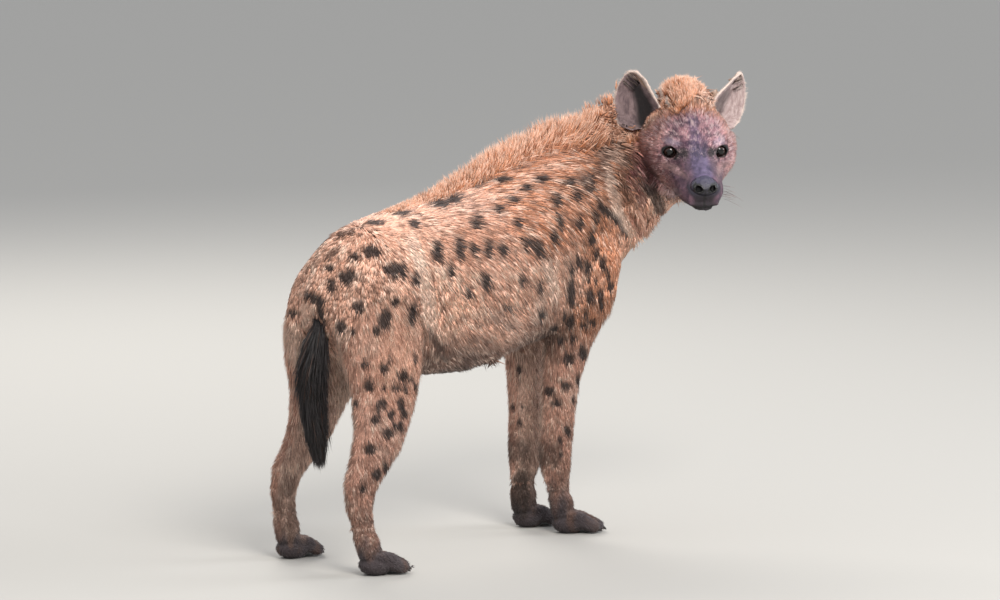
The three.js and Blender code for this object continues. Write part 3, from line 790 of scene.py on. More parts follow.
# Bands, read from the picture: from, to, half width, colour, its level and how much shows
BANDS = [
    (411, 240, 418, 262, 6, "cream", 1.0, 0.6), (418, 262, 430, 322, 7, "cream", 1.0, 0.55),
    (545, 262, 553, 292, 6, "cream", 0.9, 0.55), (540, 295, 533, 318, 4, "cream", 0.8, 0.45),
    (540, 312, 512, 345, 5, "umber", 0.8, 0.95), (422, 346, 430, 372, 9, "umber", 0.7, 0.95),
    (430, 374, 470, 368, 10, "umber", 0.65, 0.9), (470, 368, 508, 346, 7, "umber", 0.9, 0.8),
    (428, 330, 444, 356, 4, "umber", 1.3, 0.6), (440, 345, 470, 352, 6, "brown", 0.8, 0.5),
    (494, 318, 508, 322, 6, "brown", 0.9, 0.5), (470, 340, 492, 344, 6, "brown", 0.9, 0.4),
    (308, 295, 322, 301, 4, "spot", 1.0, 0.95), (320, 300, 324, 330, 3, "spot", 1.0, 0.95),
    (308, 310, 318, 340, 7, "cream", 0.95, 0.4), (284, 318, 300, 330, 9, "cream", 0.95, 0.5),
    (597, 205, 616, 219, 4, "spot", 1.0, 0.95), (616, 219, 626, 235, 2, "spot", 1.0, 0.9),
    (605, 152, 607, 180, 6, "cream", 0.85, 0.5), (607, 180, 616, 211, 6, "cream", 0.9, 0.6),
    (616, 211, 628, 227, 5, "cream", 0.9, 0.6), (618, 146, 616, 160, 6, "cream", 0.7, 0.6),
    (622, 170, 630, 206, 7, "brown", 1.3, 0.5), (626, 158, 626, 161, 3, "umber", 1.0, 0.8),
    (640, 136, 638, 153, 8, "rose", 1.0, 0.6), (634, 215, 640, 229, 6, "rose", 1.0, 0.65),
    (652, 216, 672, 206, 5, "rose", 1.0, 0.6), (636, 156, 634, 173, 4, "blood", 1.0, 0.85),
    (644, 163, 650, 186, 8, "blood", 1.8, 0.6), (630, 176, 642, 200, 6, "blood", 1.5, 0.5),
    (652, 190, 659, 208, 6, "umber", 0.9, 0.8), (643, 182, 648, 191, 5, "umber", 1.0, 0.65),
    (292, 335, 300, 362, 12, "cream", 0.95, 0.5), (343, 330, 346, 400, 9, "cream", 0.95, 0.4),
    (604, 150, 628, 158, 13, "brown", 1.15, 0.5), (600, 262, 600, 290, 14, "orange", 1.35, 0.25),
    (537, 352, 540, 440, 5, "cream", 1.0, 0.75), (521, 480, 521, 512, 9, "umber", 0.7, 0.7),
    (508, 450, 511, 466, 4, "umber", 0.6, 0.9), (539, 458, 540, 472, 4, "umber", 0.6, 0.9),
    (475, 188, 487, 179, 4, "brown", 0.6, 0.85), (437, 243, 440, 260, 3, "brown", 0.7, 0.8),
    (570, 183, 584, 174, 4, "brown", 0.8, 0.6), (602, 155, 596, 172, 5, "brown", 0.8, 0.6),
    (588, 176, 590, 188, 3, "spot", 1.0, 0.9), (581, 181, 585, 192, 3, "spot", 1.0, 0.85),
    (548, 350, 556, 360, 6, "brown", 0.6, 0.5), (340, 236, 352, 232, 3, "brown", 0.6, 0.8),
    (328, 258, 338, 250, 3, "brown", 0.6, 0.8), (384, 209, 402, 196, 3, "brown", 0.7, 0.6),
]

# Spots, read from the picture: centre, half width and half height
SPOTS = [
    (358, 307, 6, 8), (342, 326, 5, 7), (353, 333, 3, 4), (386, 320, 7, 12), (377, 333, 4, 6),
    (395, 301, 4, 6), (413, 316, 4, 13), (414, 279, 4, 8), (402, 272, 4, 9), (365, 366, 4, 5),
    (384, 370, 5, 6), (390, 362, 3, 3), (403, 378, 6, 7), (411, 380, 3, 3), (369, 387, 5, 6),
    (396, 389, 5, 5), (384, 389, 3, 3), (405, 391, 3, 4), (416, 388, 2, 5), (416, 359, 2, 6),
    (381, 405, 6, 7), (401, 404, 4, 7), (392, 416, 4, 5), (404, 414, 4, 6), (376, 420, 6, 5),
    (395, 427, 3, 4), (401, 427, 3, 6), (388, 434, 7, 6), (371, 449, 7, 6), (386, 468, 3, 6),
    (377, 475, 5, 6), (363, 490, 3, 4), (355, 405, 3, 5), (330, 268, 5, 4), (375, 224, 8, 3),
    (401, 214, 8, 3), (413, 225, 6, 5), (372, 252, 8, 7), (355, 257, 7, 4), (348, 277, 9, 8),
    (393, 270, 10, 9), (332, 287, 5, 9), (365, 218, 6, 3), (410, 197, 6, 3), (294, 313, 6, 4),
    (285, 297, 5, 4), (281, 320, 4, 4), (315, 342, 4, 8),
    (439, 205, 10, 5), (454, 200, 8, 5), (458, 249, 6, 13), (472, 251, 4, 6), (486, 249, 5, 9),
    (500, 249, 5, 9), (525, 245, 5, 9), (537, 249, 6, 10), (552, 237, 4, 9), (557, 222, 4, 9),
    (475, 223, 6, 8), (484, 281, 6, 9), (520, 279, 4, 7), (525, 189, 8, 3), (512, 201, 7, 4),
    (502, 181, 9, 3), (540, 180, 7, 4), (554, 200, 5, 7), (435, 252, 5, 11), (449, 271, 3, 9),
    (466, 292, 5, 4), (538, 285, 3, 8), (507, 306, 6, 3), (516, 222, 5, 5), (497, 210, 6, 4),
    (575, 195, 5, 6), (567, 183, 5, 5), (577, 222, 4, 9), (593, 215, 4, 8), (590, 236, 3, 9),
    (577, 262, 4, 7), (595, 254, 4, 6), (587, 266, 4, 7), (602, 264, 4, 8), (607, 275, 3, 6),
    (610, 286, 4, 6), (600, 295, 4, 8), (590, 296, 5, 8), (570, 290, 5, 14), (588, 280, 2, 5),
    (595, 280, 2, 4), (602, 308, 3, 6), (585, 316, 4, 5), (570, 321, 6, 9), (563, 315, 3, 6),
    (584, 327, 4, 4), (592, 324, 5, 5), (553, 325, 5, 6), (561, 342, 5, 5), (574, 340, 4, 5),
    (583, 355, 5, 8), (568, 359, 6, 7), (569, 268, 3, 5), (628, 248, 3, 5), (566, 386, 5, 5),
    (578, 380, 2, 7), (550, 392, 6, 6), (557, 404, 6, 5), (574, 399, 2, 5), (568, 433, 4, 4),
    (560, 441, 3, 4), (561, 455, 3, 3), (513, 408, 3, 3), (521, 407, 3, 2), (519, 423, 4, 3),
    (519, 371, 3, 6),
]
SPOT_DEPTH = 45.0


def find_marks(tree):
    """Bands and spots on the skin: both ends, half sizes across the view, colour and share, in mm."""
    rows = [(x, y, x, y, wide, high, "spot", 1.0, 0.95) for x, y, wide, high in SPOTS]
    rows = [(*row[:5], *row[4:]) for row in BANDS] + rows
    marks = []
    for x0, y0, x1, y1, wide, high, name, level, share in rows:
        ends = []
        for px, py in ((x0, y0), (x1, y1)):
            hit = tree.ray_cast(Vector(to_world(EYEPOINT)), Vector(ray(px, py)))[0]
            if hit is not None:
                ends.append(to_body(np.array(hit)))
        if len(ends) == 2:
            scale = np.linalg.norm(ends[0] - EYEPOINT) * PIXEL
            marks.append((*ends, wide * scale, high * scale, tone(name, level), share))
    return marks


def axis_shift(points, part):
    """Moves points of the left limbs so that they lie on the mirrored right ones."""
    moved = points.copy()
    for left, right in (("front_leg_left", "front_leg_right"), ("hind_leg_left", "hind_leg_right")):
        on = is_part(part, left)
        a = np.array(AXES[left], float)
        b = np.array(AXES[right], float) * [1, -1, 1, 1]
        height = points[on, 2]
        for axis in range(2):
            here = np.interp(height, a[::-1, 2], a[::-1, axis])
            there = np.interp(height, b[::-1, 2], b[::-1, axis])
            moved[on, axis] += there - here
    return moved


def marked(colour, points, normals, part):
    """Lays bands and spots over the ground colours, on the right as seen and on the left alike."""
    hidden = (points[:, 1] > 0) & (normals @ BACK < 0.1)
    moved = axis_shift(points, part)
    warp = np.stack([value_noise(moved, 70, seed) for seed in (5, 6, 7)], 1) - 0.5
    seen = np.where(hidden[:, None], moved * [1, -1, 1] + warp * 60, points)
    facing = np.where(hidden[:, None], normals * [1, -1, 1], normals)
    wobble = 1 + 0.6 * (value_noise(points, 9, 3) - 0.5)
    away = facing @ BACK < -0.2
    for start, end, wide, high, shade, share in MARKS:
        off = seen - start
        reach = np.linalg.norm(end - start) + 2.2 * max(wide, high) + SPOT_DEPTH
        near = np.flatnonzero((np.abs(off).max(1) < reach) & ~away)
        if not len(near):
            continue
        off = off[near]
        run = end - start
        flat = np.array([run @ RIGHT, run @ UPWARD])
        place = np.stack([off @ RIGHT, off @ UPWARD], 1)
        t = np.clip(place @ flat / max(flat @ flat, 1e-6), 0, 1)
        rest = place - t[:, None] * flat
        depth = off @ BACK - t * (run @ BACK)
        radius = np.hypot(rest[:, 0] / wide, rest[:, 1] / high) * wobble[near]
        amount = smoothstep(1.25, 0.7, radius) * (np.abs(depth) < SPOT_DEPTH) * share
        colour[near] = mix(colour[near], shade, amount)
    return colour


# Head frame: the line of the mouth as places ahead and up, the nose, and balls that hold areas of colour
MOUTH = [(130, -84), (100, -83), (80, -82), (56, -82), (34, -88), (16, -98)]
NOSE_AT = (108, 0, -39)
NOSE_TIP = (26, 36, 27)
NOSE_BARE = (24, 34, 26)
FACE = ((-25, 0, -20), (128, 118, 108))
MUZZLE = ((70, 0, -60), (90, 70, 66))
BARE_MUZZLE = ((70, 0, -50), (70, 60, 60))
CHEEK_STAIN = ((-30, -84, -62), (34, 40, 40))
JAW_STAIN = ((8, 0, -104), (40, 120, 22))

# Round each eye: place out and up, half width and height, colour, where it fades and how much shows
EYE_MARKS = [
    ((-2, 25), (17, 8), (186, 168, 186), (1.35, 0.5), 0.65),
    ((4, -26), (24, 9), (196, 160, 156), (1.35, 0.5), 0.5),
    ((-22, 8), (11, 8), (34, 24, 30), (1.35, 0.7), 0.9),
    ((-25, -8), (6, 9), (80, 66, 84), (1.3, 0.6), 0.5),
    ((4, 3), (16, 13), (16, 12, 14), (1.2, 1.0), 1.0),
]


def mouth_distance(head):
    """Distance from the line of the mouth, seen from the side."""
    line = np.array(MOUTH, float)
    best = np.full(len(head), np.inf)
    for a, b in zip(line[:-1], line[1:]):
        t = np.clip((head[:, [0, 2]] - a) @ (b - a) / ((b - a) @ (b - a)), 0, 1)
        best = np.minimum(best, np.linalg.norm(head[:, [0, 2]] - a - t[:, None] * (b - a), axis=1))
    return best


def from_eye(off, side, place, half):
    """Distance over the face from a place out and up from an eye, as a share of half width and height."""
    return np.hypot((off[:, 1] - side * place[0]) / half[0], (off[:, 2] - place[1]) / half[1])


def face_colour(head):
    """Colours of the head, from places in its own frame."""
    x, y, z = head.T
    side = np.abs(y)
    fine = value_noise(head, 6, 21)
    blotch = value_noise(head, 20, 22)
    speckle = smoothstep(0.34, 0.68, 0.6 * fine + 0.4 * blotch)
    colour = mottled("forehead", speckle)
    stripe = smoothstep(17, 6, np.abs(y + 4)) * smoothstep(86, 60, z)
    colour = mix(colour, mottled("stripe", fine), stripe * 0.8)
    crown = smoothstep(-25, -70, x) * smoothstep(20, 66, z)
    colour = mix(colour, tone("gold", 0.8), crown)
    temple = smoothstep(48, 80, side) * smoothstep(20, -40, x)
    colour = mix(colour, mottled("temple", speckle), temple * 0.85)
    cheek = smoothstep(10, -40, z) * smoothstep(52, -5, x)
    colour = mix(colour, mottled("cheek", speckle), cheek * 0.9)
    stain = smoothstep(1.2, 0.5, in_radii(head, *CHEEK_STAIN))
    colour = mix(colour, mottled("stain", blotch), stain * 0.85)
    jaw = smoothstep(1.25, 0.6, in_radii(head, *JAW_STAIN))
    colour = mix(colour, mottled("jaw", blotch), jaw * 0.8)
    ruff = smoothstep(-70, -110, x) * smoothstep(60, 20, z)
    colour = mix(colour, mix(tone("brown", 1.2), tone("sand", 0.85), speckle), ruff)
    colour = mix(colour, mottled("muzzle", fine), smoothstep(12, 58, x) * 0.9)
    bridge = smoothstep(30, 14, side) * smoothstep(-45, -15, z) * smoothstep(0, 30, x)
    colour = mix(colour, mottled("bridge", fine), bridge * 0.85)
    tip = smoothstep(1.25, 0.95, in_radii(head, NOSE_AT, NOSE_TIP))
    colour = mix(colour, bare_and_shade_tone("nose tip"), tip * smoothstep(-26, -42, z))
    chin = smoothstep(-66, -84, z) * smoothstep(20, 60, x)
    colour = mix(colour, bare_and_shade_tone("chin"), chin * 0.85)
    lip = smoothstep(-50, -62, z) * smoothstep(92, 106, x) * smoothstep(30, 16, side)
    colour = mix(colour, bare_and_shade_tone("lip"), lip * 0.9)
    # The line of the mouth and its split at the front are painted near-black: painted shade between the
    # lips
    split = smoothstep(3.5, 1.5, side) * smoothstep(110, 118, x) * smoothstep(-88, -84, z)
    lips = np.maximum(smoothstep(4.2, 1.8, mouth_distance(head)), split)
    colour = mix(colour, bare_and_shade_tone("mouth"), lips * smoothstep(14, 24, x))
    for eye in (-1, 1):
        off = head - eye_place(eye, 8)
        near = off[:, 0] > -30
        for place, half, shade, (outer, inner), share in EYE_MARKS:
            amount = smoothstep(outer, inner, from_eye(off, eye, place, half))
            colour = mix(colour, srgb(*shade), amount * near * share)
    return colour


# The dark of each ear's hollow is painted shade, deepest in the right ear
EAR_HOLLOW_SHADES = {"ear_left": 0.6, "ear_right": 0.97}  # how dark the hollow of each ear is


def ear_colour(head, name):
    """Colours of an ear: a dark hollow of painted shade inside pale rims, and a grey-brown back."""
    side = EARS[name]
    before, across, up, _ = on_ear(head, side)
    streak = value_noise(head * [1, 1, 2.5], 5, 31)
    front = mottled(name, streak)
    hollow = smoothstep(1.0, 0.4, np.abs(across + 0.22) / (0.66 - 0.3 * np.clip(up / EAR_TALL, 0, 1)))
    hollow *= smoothstep(118, 92, up + 16 * (side > 0)) * smoothstep(-5, 12, up)
    front = mix(front, bare_and_shade_tone("ear hollow shade"), hollow * EAR_HOLLOW_SHADES[name])
    colour = np.where((before > 0)[:, None], front, mottled("ear back", streak))
    edge = smoothstep(0.86, 0.97, np.abs(across)) * smoothstep(8, 26, up)
    rim = np.maximum(edge, smoothstep(122, 132, up))
    return mix(colour, bare_and_shade_tone("ear rim"), rim * 0.85)


def ground_colour(points, inner):
    """Streaked ground of the coat, paler inside the legs."""
    grounds = both_sides([(at, (1, 0, 0), *tone(name, level)) for at, name, level in GROUNDS])
    places = [at for at, *_ in grounds] + [at for at, *_ in NECK_GROUNDS]
    tones = [row[2:] for row in grounds] + [tuple(tone(name, level)) for _, name, level in NECK_GROUNDS]
    colour = spread(points, places, tones, reach=70)
    streak = value_noise(points * [0.5, 1, 1], 26, 11)
    colour = mix(colour, tone("cream"), smoothstep(0.55, 0.95, streak) * 0.35)
    colour = mix(colour, tone("brown"), smoothstep(0.42, 0.1, streak) * 0.3)
    return mix(colour, tone("cream", 0.8), inner * 0.5)


def soiled(colour, points, normals, legs):
    """Darkens the fronts of the wrists, the feet and blotches of the legs."""
    wrist = legs * (points[:, 0] > 0) * smoothstep(0.2, 0.8, -normals[:, 0])
    wrist *= smoothstep(42, 14, np.abs(points[:, 2] - 172))
    colour = mix(colour, tone("umber"), wrist * 0.6)
    grime = value_noise(points * [1, 1, 0.4], 16, 12)
    above = np.where(points[:, 0] < 0, 90, 140)
    low = smoothstep(above, 25, points[:, 2] + 60 * (grime - 0.5))
    colour = mix(colour, tone("foot"), low * legs)
    dirty = smoothstep(0.45, 0.8, grime) * smoothstep(300, 120, points[:, 2]) * legs
    return mix(colour, tone("brown", 0.7), dirty * 0.65)


def markings(points, normals, part, lock=None):
    """Colour of skin and hair at places of the body frame, the same for both.

    lock makes single locks paler, up to 1, or darker, down to -1.
    """
    legs = is_part(part, *LIMBS)
    colour = ground_colour(points, legs * smoothstep(0.1, 0.6, -normals[:, 1] * np.sign(points[:, 1])))
    if lock is not None:
        calm = 1 - 0.05 * legs
        colour = mix(colour, tone("cream"), np.clip(lock, 0, 1) * 0.75 * calm)
        colour = mix(colour, tone("brown", 0.6), np.clip(-lock, 0, 1) * 0.8 * calm)
    for at, radii, name, level, amount in PATCHES:
        for flip in (1, -1):
            near = smoothstep(1.2, 0.4, in_radii(points, np.array(at) * [1, flip, 1], radii))
            colour = mix(colour, tone(name, level), near * amount)
    colour = soiled(colour, points, normals, legs)
    head = to_head(points)
    face = face_colour(head)
    if lock is not None:
        crown = smoothstep(-40, -75, head[:, 0]) * smoothstep(10, 50, head[:, 2])
        lock = lock * (1 - 0.7 * crown)
        speck = np.clip(lock, 0, 1) * smoothstep(80, -10, head[:, 0])
        face = mix(face, bare_and_shade_tone("speck"), speck * 0.75)
        face = mix(face, face * 0.45, np.clip(-lock, 0, 1) * 0.8)
    on_face = np.minimum(in_radii(head, *FACE), in_radii(head, *MUZZLE))
    colour = mix(colour, face, smoothstep(1.12, 0.9, on_face))
    colour = marked(colour, points, normals, part)
    for name in EARS:
        ear = is_part(part, name)
        if ear.any():
            colour[ear] = ear_colour(head[ear], name)
            if lock is not None:
                colour[ear] *= (1 + 0.35 * lock[ear])[:, None]
    return colour


# Skin: what each shell is made of, how much larger the copies are, in metres, and where they end

BODY_FLESH = ["torso", "neck", *LIMBS]
HEAD_FLESH = ["head", "ear_left", "ear_right", "neck"]
BODY_GROW = 0.0006
HEAD_GROW = 0.0004
PAW_GROW = 0.0003
NOSE_GROW = 0.0011
NOSE_GRAIN = 0.0009
NECK_CUT = ((470, -40, 800), (0.6, -0.75, 0.3))  # place and way of the plane behind the head
ANKLE = 108
SOLE = 0.5
NAPE = (-70, 0, -20)  # head frame

# Edge of throat and chest in the picture: height and place across
THROAT = [
    (206, 668), (212, 663), (220, 654), (230, 645), (239, 637),
    (250, 630), (262, 627), (275, 624), (300, 617),
]

# Underside of the belly: height along the body, and how far from the middle it reaches
BELLY_LINE = [(-200, 392), (-107, 386), (-11, 384), (40, 388), (114, 408), (161, 420), (240, 440)]
BELLY_MIDDLE = 15
BELLY_HALF_LONG = 205
BELLY_HALF_WIDE = 140

# Muscles and hollows of the body: place, radii and height in mm, for both sides
FORMS = [
    ((300, -140, 700), (60, 60, 90), 7),
    ((335, -140, 600), (45, 60, 60), 8),
    ((250, -140, 600), (28, 60, 80), -7),
    ((330, -140, 500), (40, 60, 40), 6),
    ((-270, -150, 560), (80, 60, 80), 8),
    ((-180, -150, 520), (32, 60, 90), -8),
    ((-250, -150, 420), (40, 60, 50), 5),
    ((-330, -120, 640), (40, 50, 30), 5),
    ((60, -150, 470), (120, 50, 40), 4),
]

# The same for the head, in its own frame
HEAD_FORMS = [
    ((6, 36, 26), (22, 20, 11), 4.5),
    ((6, 0, 24), (22, 15, 22), -2.5),
    ((-24, 80, -34), (34, 26, 18), 4),
    ((36, 44, -22), (26, 16, 14), -4.5),
    ((86, 36, -62), (24, 18, 17), 4),
    ((56, 0, -2), (46, 13, 12), 3),
    ((-46, 88, 34), (28, 22, 24), -4),
    ((-66, 98, -66), (42, 30, 36), 7),
    ((-128, 92, -64), (52, 40, 62), 15),
    ((78, 46, -32), (24, 12, 12), -3),
    ((100, 0, -104), (16, 18, 10), 2),
    ((30, 60, -70), (24, 20, 18), -2.5),
]


def sculpted(points, normals, forms):
    """Adds muscles and hollows to a surface, the same on both sides."""
    out = np.zeros(len(points))
    for at, radii, height in forms:
        for flip in (1, -1) if at[1] else (1,):
            off = (points - np.array(at) * [1, flip, 1]) / radii
            out += height * np.exp(-(off**2).sum(1) * 1.5)
    return points + normals * out[:, None]


def tucked(points):
    """Draws throat and chest back behind their edge in the picture."""
    off = points - EYEPOINT
    depth = -(off @ BACK)
    across = PICTURE[0] / 2 + off @ RIGHT / depth / PIXEL
    down = PICTURE[1] / 2 - off @ UPWARD / depth / PIXEL
    edge = read_off(THROAT, down)
    head = to_head(points)
    behind = np.maximum(smoothstep(-10, -50, head[:, 0]), smoothstep(-104, -126, head[:, 2]))
    zone = smoothstep(205, 214, down) * smoothstep(306, 288, down) * behind
    over = np.clip(across - edge + 5, 0, 70) * zone * 0.9
    return points - RIGHT * (over * depth * PIXEL)[:, None]


def belly_at(points):
    """Height of the belly's underside at points of the body, and which of them lie over it."""
    x, y, _ = points.T
    over = (np.abs(x - BELLY_MIDDLE) < BELLY_HALF_LONG) & (np.abs(y) < BELLY_HALF_WIDE)
    return read_off(BELLY_LINE, x), over


def lift_belly(shell, grain):
    """Lifts what hangs below the belly's line, and closes the shell anew."""
    points = to_body(points_of(shell.data))
    belly, over = belly_at(points)
    height = points[:, 2]
    low = over & (height < belly) & (is_part(part_of(points), "trunk") | (height > belly - 30))
    points[low, 2] = belly[low]
    move_to(shell.data, to_world(points))
    apply_modifier(shell, "REMESH", mode="VOXEL", voxel_size=grain)


def thin_out(shell, triangles):
    """Brings a mesh down to about so many triangles, fewest where it is smooth."""
    shell.data.calc_loop_triangles()
    apply_modifier(shell, "DECIMATE", ratio=min(1, triangles / len(shell.data.loop_triangles)))


def body_shell(sizes):
    """Skin of trunk, neck and legs, sunk in by the depth of the coat."""
    shell = flesh("skin_body", BODY_FLESH, BODY_GROW, sizes.body_grain)
    lift_belly(shell, sizes.body_grain)
    mesh = shell.data
    edges = edges_of(mesh)
    points = to_body(points_of(mesh))
    part = part_of(points)
    belly, over = belly_at(points)
    under = over & (points[:, 2] < belly + 60) & (points[:, 2] > belly - 30)
    high = smoothstep(60, 420, points[:, 2])
    points = relax(points, edges, 0.1 + 0.4 * high, 14)
    midline = np.abs(points[:, 1] + smoothstep(300, 520, points[:, 0]) * 30) < 60
    hairy = (midline & (points[:, 2] > 720) & is_part(part, "trunk")) | is_part(part, "neck")
    points = relax(points, edges, 0.5 * hairy.astype(float), 90)
    points = relax(points, edges, 0.5 * under.astype(float), 160)
    hip = (points[:, 2] < 700) * smoothstep(480, 540, points[:, 2])
    points = relax(points, edges, 0.5 * hip, 60)
    move_to(mesh, to_world(points))
    normals = normals_of(mesh)
    points = sculpted(points, normals, FORMS)
    tall = smoothstep(100, 150, points[:, 2]) * smoothstep(520, 440, points[:, 2])
    for name, way in (("front_leg_right", -1), ("front_leg_left", 1)):
        facing = smoothstep(0, 0.5, way * (normals @ RIGHT)) * is_part(part, name)
        points += RIGHT * (way * 9 * facing * tall)[:, None]
    _, length, lift = lie(points, normals, part)
    inset = length * lift * 0.75
    near_head = np.linalg.norm(to_head(points) - NAPE, axis=1)
    inset += 14 * smoothstep(150, 110, near_head)
    inset += 2.5 * smoothstep(ANKLE + 55, ANKLE - 5, points[:, 2])
    points = tucked(points - normals * inset[:, None])
    points[:, 2] = np.maximum(points[:, 2], SOLE)
    move_to(mesh, to_world(points))
    thin_out(shell, sizes.body_triangles)
    return shell


# Places of the face that keep their edges, with their reach
KEEN = [((5, 54, 0), 26), ((5, -54, 0), 26), ((110, 0, -50), 34)]


def head_shell(sizes):
    """Skin of the head, the ears and the top of the neck, with keen eyes, mouth and nose."""
    place, normal = NECK_CUT
    cut = (Vector(to_world(place)), Vector(unit(-np.array(normal))), ["neck"])
    shell = flesh("skin_head", HEAD_FLESH, HEAD_GROW, sizes.head_grain, cut)
    mesh = shell.data
    edges = edges_of(mesh)
    points = to_body(points_of(mesh))
    part = part_of(points)
    head = to_head(points)
    features = np.minimum(mouth_distance(head) / 8, 2) + 2 * (head[:, 0] < 20)
    for at, radius in KEEN:
        features = np.minimum(features, np.linalg.norm(head - at, axis=1) / radius)
    ears = part > HEAD
    fine = smoothstep(0.8, 1.3, features) * np.where(ears, 0.12, 1)
    points = relax(points, edges, 0.1 + 0.4 * fine, 12)
    crest = (head[:, 2] > 62) & (head[:, 0] < -30) & (np.abs(head[:, 1]) < 66)
    nape = smoothstep(-78, -100, head[:, 0])
    points = relax(points, edges, 0.5 * ~ears * np.maximum(crest, nape), 200)
    points = relax(points, edges, 0.4 * fine, 14)
    head = to_head(points)
    for side in (1, -1):
        off = head - eye_place(side)
        reach = np.hypot(off[:, 1], off[:, 2])
        wider = smoothstep(28, 13, reach) * smoothstep(2, 9, off[:, 0])
        head[:, 2] += off[:, 2] * 0.26 * wider
        head[:, 1] += off[:, 1] * 0.07 * wider
    narrow = smoothstep(60, 100, head[:, 0]) * smoothstep(-74, -100, head[:, 2])
    head[:, 1] *= 1 - 0.3 * narrow
    move_to(mesh, to_world(from_head(head)))
    normals = normals_of(mesh)
    formed = sculpted(head, normals @ HEAD_ROTATION, HEAD_FORMS)
    formed[ears] = head[ears]
    for name, side in EARS.items():
        ear = is_part(part, name)
        _, across, up, _ = on_ear(head[ear], side)
        blunt = (14 if side < 0 else 0) * smoothstep(60, 118, up) * smoothstep(0.6, -0.7, across)
        formed[ear] -= (ear_axes(side) @ [0, 1, 0.25]) * blunt[:, None]
    points = relax(from_head(formed), edges, 0.3 * fine, 4)
    move_to(mesh, to_world(points))
    normals = normals_of(mesh)
    _, length, lift = lie(points, normals, part)
    inset = length * lift * np.where(ears, 0.3, 0.7)
    far = np.linalg.norm(to_head(points) - NAPE, axis=1)
    inset += 32 * smoothstep(150, 220, far) * is_part(part, "neck")
    move_to(mesh, to_world(tucked(points - normals * inset[:, None])))
    thin_out(shell, sizes.head_triangles)
    return shell


def paw_shell(paw, sizes):
    """Skin of a paw and its ankle, with grooves between the toes."""
    leg, (x, y), turn = PAWS[paw]
    cut = (Vector(to_world((0, 0, ANKLE))), Vector((0, 0, 1)), [leg])
    shell = flesh("skin_" + paw, [paw, leg], PAW_GROW, sizes.paw_grain, cut)
    mesh = shell.data
    points = to_body(points_of(mesh))
    points = relax(points, edges_of(mesh), np.full(len(points), 0.35), 8)
    local = (points - [x, y, 0]) @ turned(2, turn)
    groove = np.zeros(len(points))
    for side in TOE_GAPS:
        deep = np.exp(-(((local[:, 1] - side) / 4.5) ** 2)) * smoothstep(30, 58, local[:, 0])
        groove = np.maximum(groove, deep * smoothstep(6, 20, local[:, 2]))
    move_to(mesh, to_world(points))
    normals = normals_of(mesh)
    inset = 1.2 + 5 * groove + 5.5 * smoothstep(ANKLE - 34, ANKLE - 4, points[:, 2])
    points = points - normals * inset[:, None]
    points[:, 2] = np.maximum(points[:, 2], SOLE)
    move_to(mesh, to_world(points))
    thin_out(shell, sizes.paw_triangles)
    return shell


MARKS = []  # bands and spots, filled in once the skin is there to find them on


def paint_skin(skin):
    """Finds the marks on the skin and colours it, darker under the coat than where it is bare: painted
    shade beneath the hair.
    """
    mesh = skin.data
    tree = BVHTree.FromPolygons(points_of(mesh).tolist(), [tuple(p.vertices) for p in mesh.polygons])
    MARKS[:] = find_marks(tree)
    points = to_body(points_of(mesh))
    part = part_of(points)
    colours = markings(points, normals_of(mesh), part)
    bare = (part > HEAD) | (in_radii(to_head(points), *BARE_MUZZLE) < 1)
    # Half brightness under the coat is painted shade in the depth of the coat
    tint_mesh(mesh, colours * np.where(bare, 0.85, 0.5)[:, None])


class HYENA_OT_skin(bpy.types.Operator):
    """Model one skin over trunk, neck, head, legs and paws"""
    bl_idname = "hyena.skin"
    bl_label = "Skin"

    def execute(self, context):
        sizes = context.scene.hyena_skin
        shells = [body_shell(sizes), head_shell(sizes)] + [paw_shell(paw, sizes) for paw in PAWS]
        skin = join(shells, "skin")
        paint_skin(skin)
        skin.data.materials.clear()
        skin.data.materials.append(material_of("hide"))
        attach(skin, "root")
        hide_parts(*BODY_FLESH, *PAWS, "head", "ear_left", "ear_right")
        return {"FINISHED"}


# Tufts of hair: closed blades of three sides, rooted in the skin

TUFT_TILE = 0.003  # side of a tuft's place on the unwrap
LOWEST = 0.6


def tuft_mesh(name, steps, widths, sides, tints, uv, thick=0.45):
    """Joined tufts. steps holds the axis from root to tip, tints its colours.

    With two more steps than widths the root is a point sunk in the skin, with one more a small face.
    """
    pointed = len(steps) - len(widths) - 1
    count, rings = len(steps[0]), len(widths)
    per = pointed + rings * 3 + 1
    points = np.empty((count, per, 3))
    colours = np.empty((count, per, 3))
    places = np.empty((count, per, 2))
    if pointed:
        points[:, 0] = steps[0]
        colours[:, 0] = tints[0]
        places[:, 0] = uv - [0, TUFT_TILE / 2]
    for i, wide in enumerate(widths):
        at = i + pointed
        along = unit(steps[at + 1] - steps[max(at - 1, 0)])
        flat = unit(sides - (sides * along).sum(1, keepdims=True) * along)
        over = np.cross(along, flat)
        half = (wide * 0.5)[:, None] * flat
        first = pointed + i * 3
        points[:, first] = steps[at] - half
        points[:, first + 1] = steps[at] + half
        points[:, first + 2] = steps[at] + over * (wide * thick)[:, None]
        for j in range(3):
            colours[:, first + j] = tints[at]
            up = at / (rings + pointed) - 0.5
            places[:, first + j] = uv + [TUFT_TILE * (j - 1) / 3, TUFT_TILE * up]
    points[:, -1] = steps[-1]
    colours[:, -1] = tints[-1]
    places[:, -1] = uv + [0, TUFT_TILE / 2]
    points[:, :, 2] = np.maximum(points[:, :, 2], LOWEST)
    if pointed:
        faces = [(0, 1 + (j + 1) % 3, 1 + j) for j in range(3)]
    else:
        faces = [(0, 2, 1)]
    for i in range(rings - 1):
        for j in range(3):
            a, b = pointed + i * 3 + j, pointed + i * 3 + (j + 1) % 3
            faces += [(a, b, b + 3), (a, b + 3, a + 3)]
    last = pointed + (rings - 1) * 3
    faces += [(last + j, last + (j + 1) % 3, per - 1) for j in range(3)]
    faces = np.array(faces)[None] + (np.arange(count) * per)[:, None, None]
    return mesh_of(
        name,
        to_world(points.reshape(-1, 3)),
        faces.reshape(-1, 3),
        colours.reshape(-1, 3),
        places.reshape(-1, 2),
    )


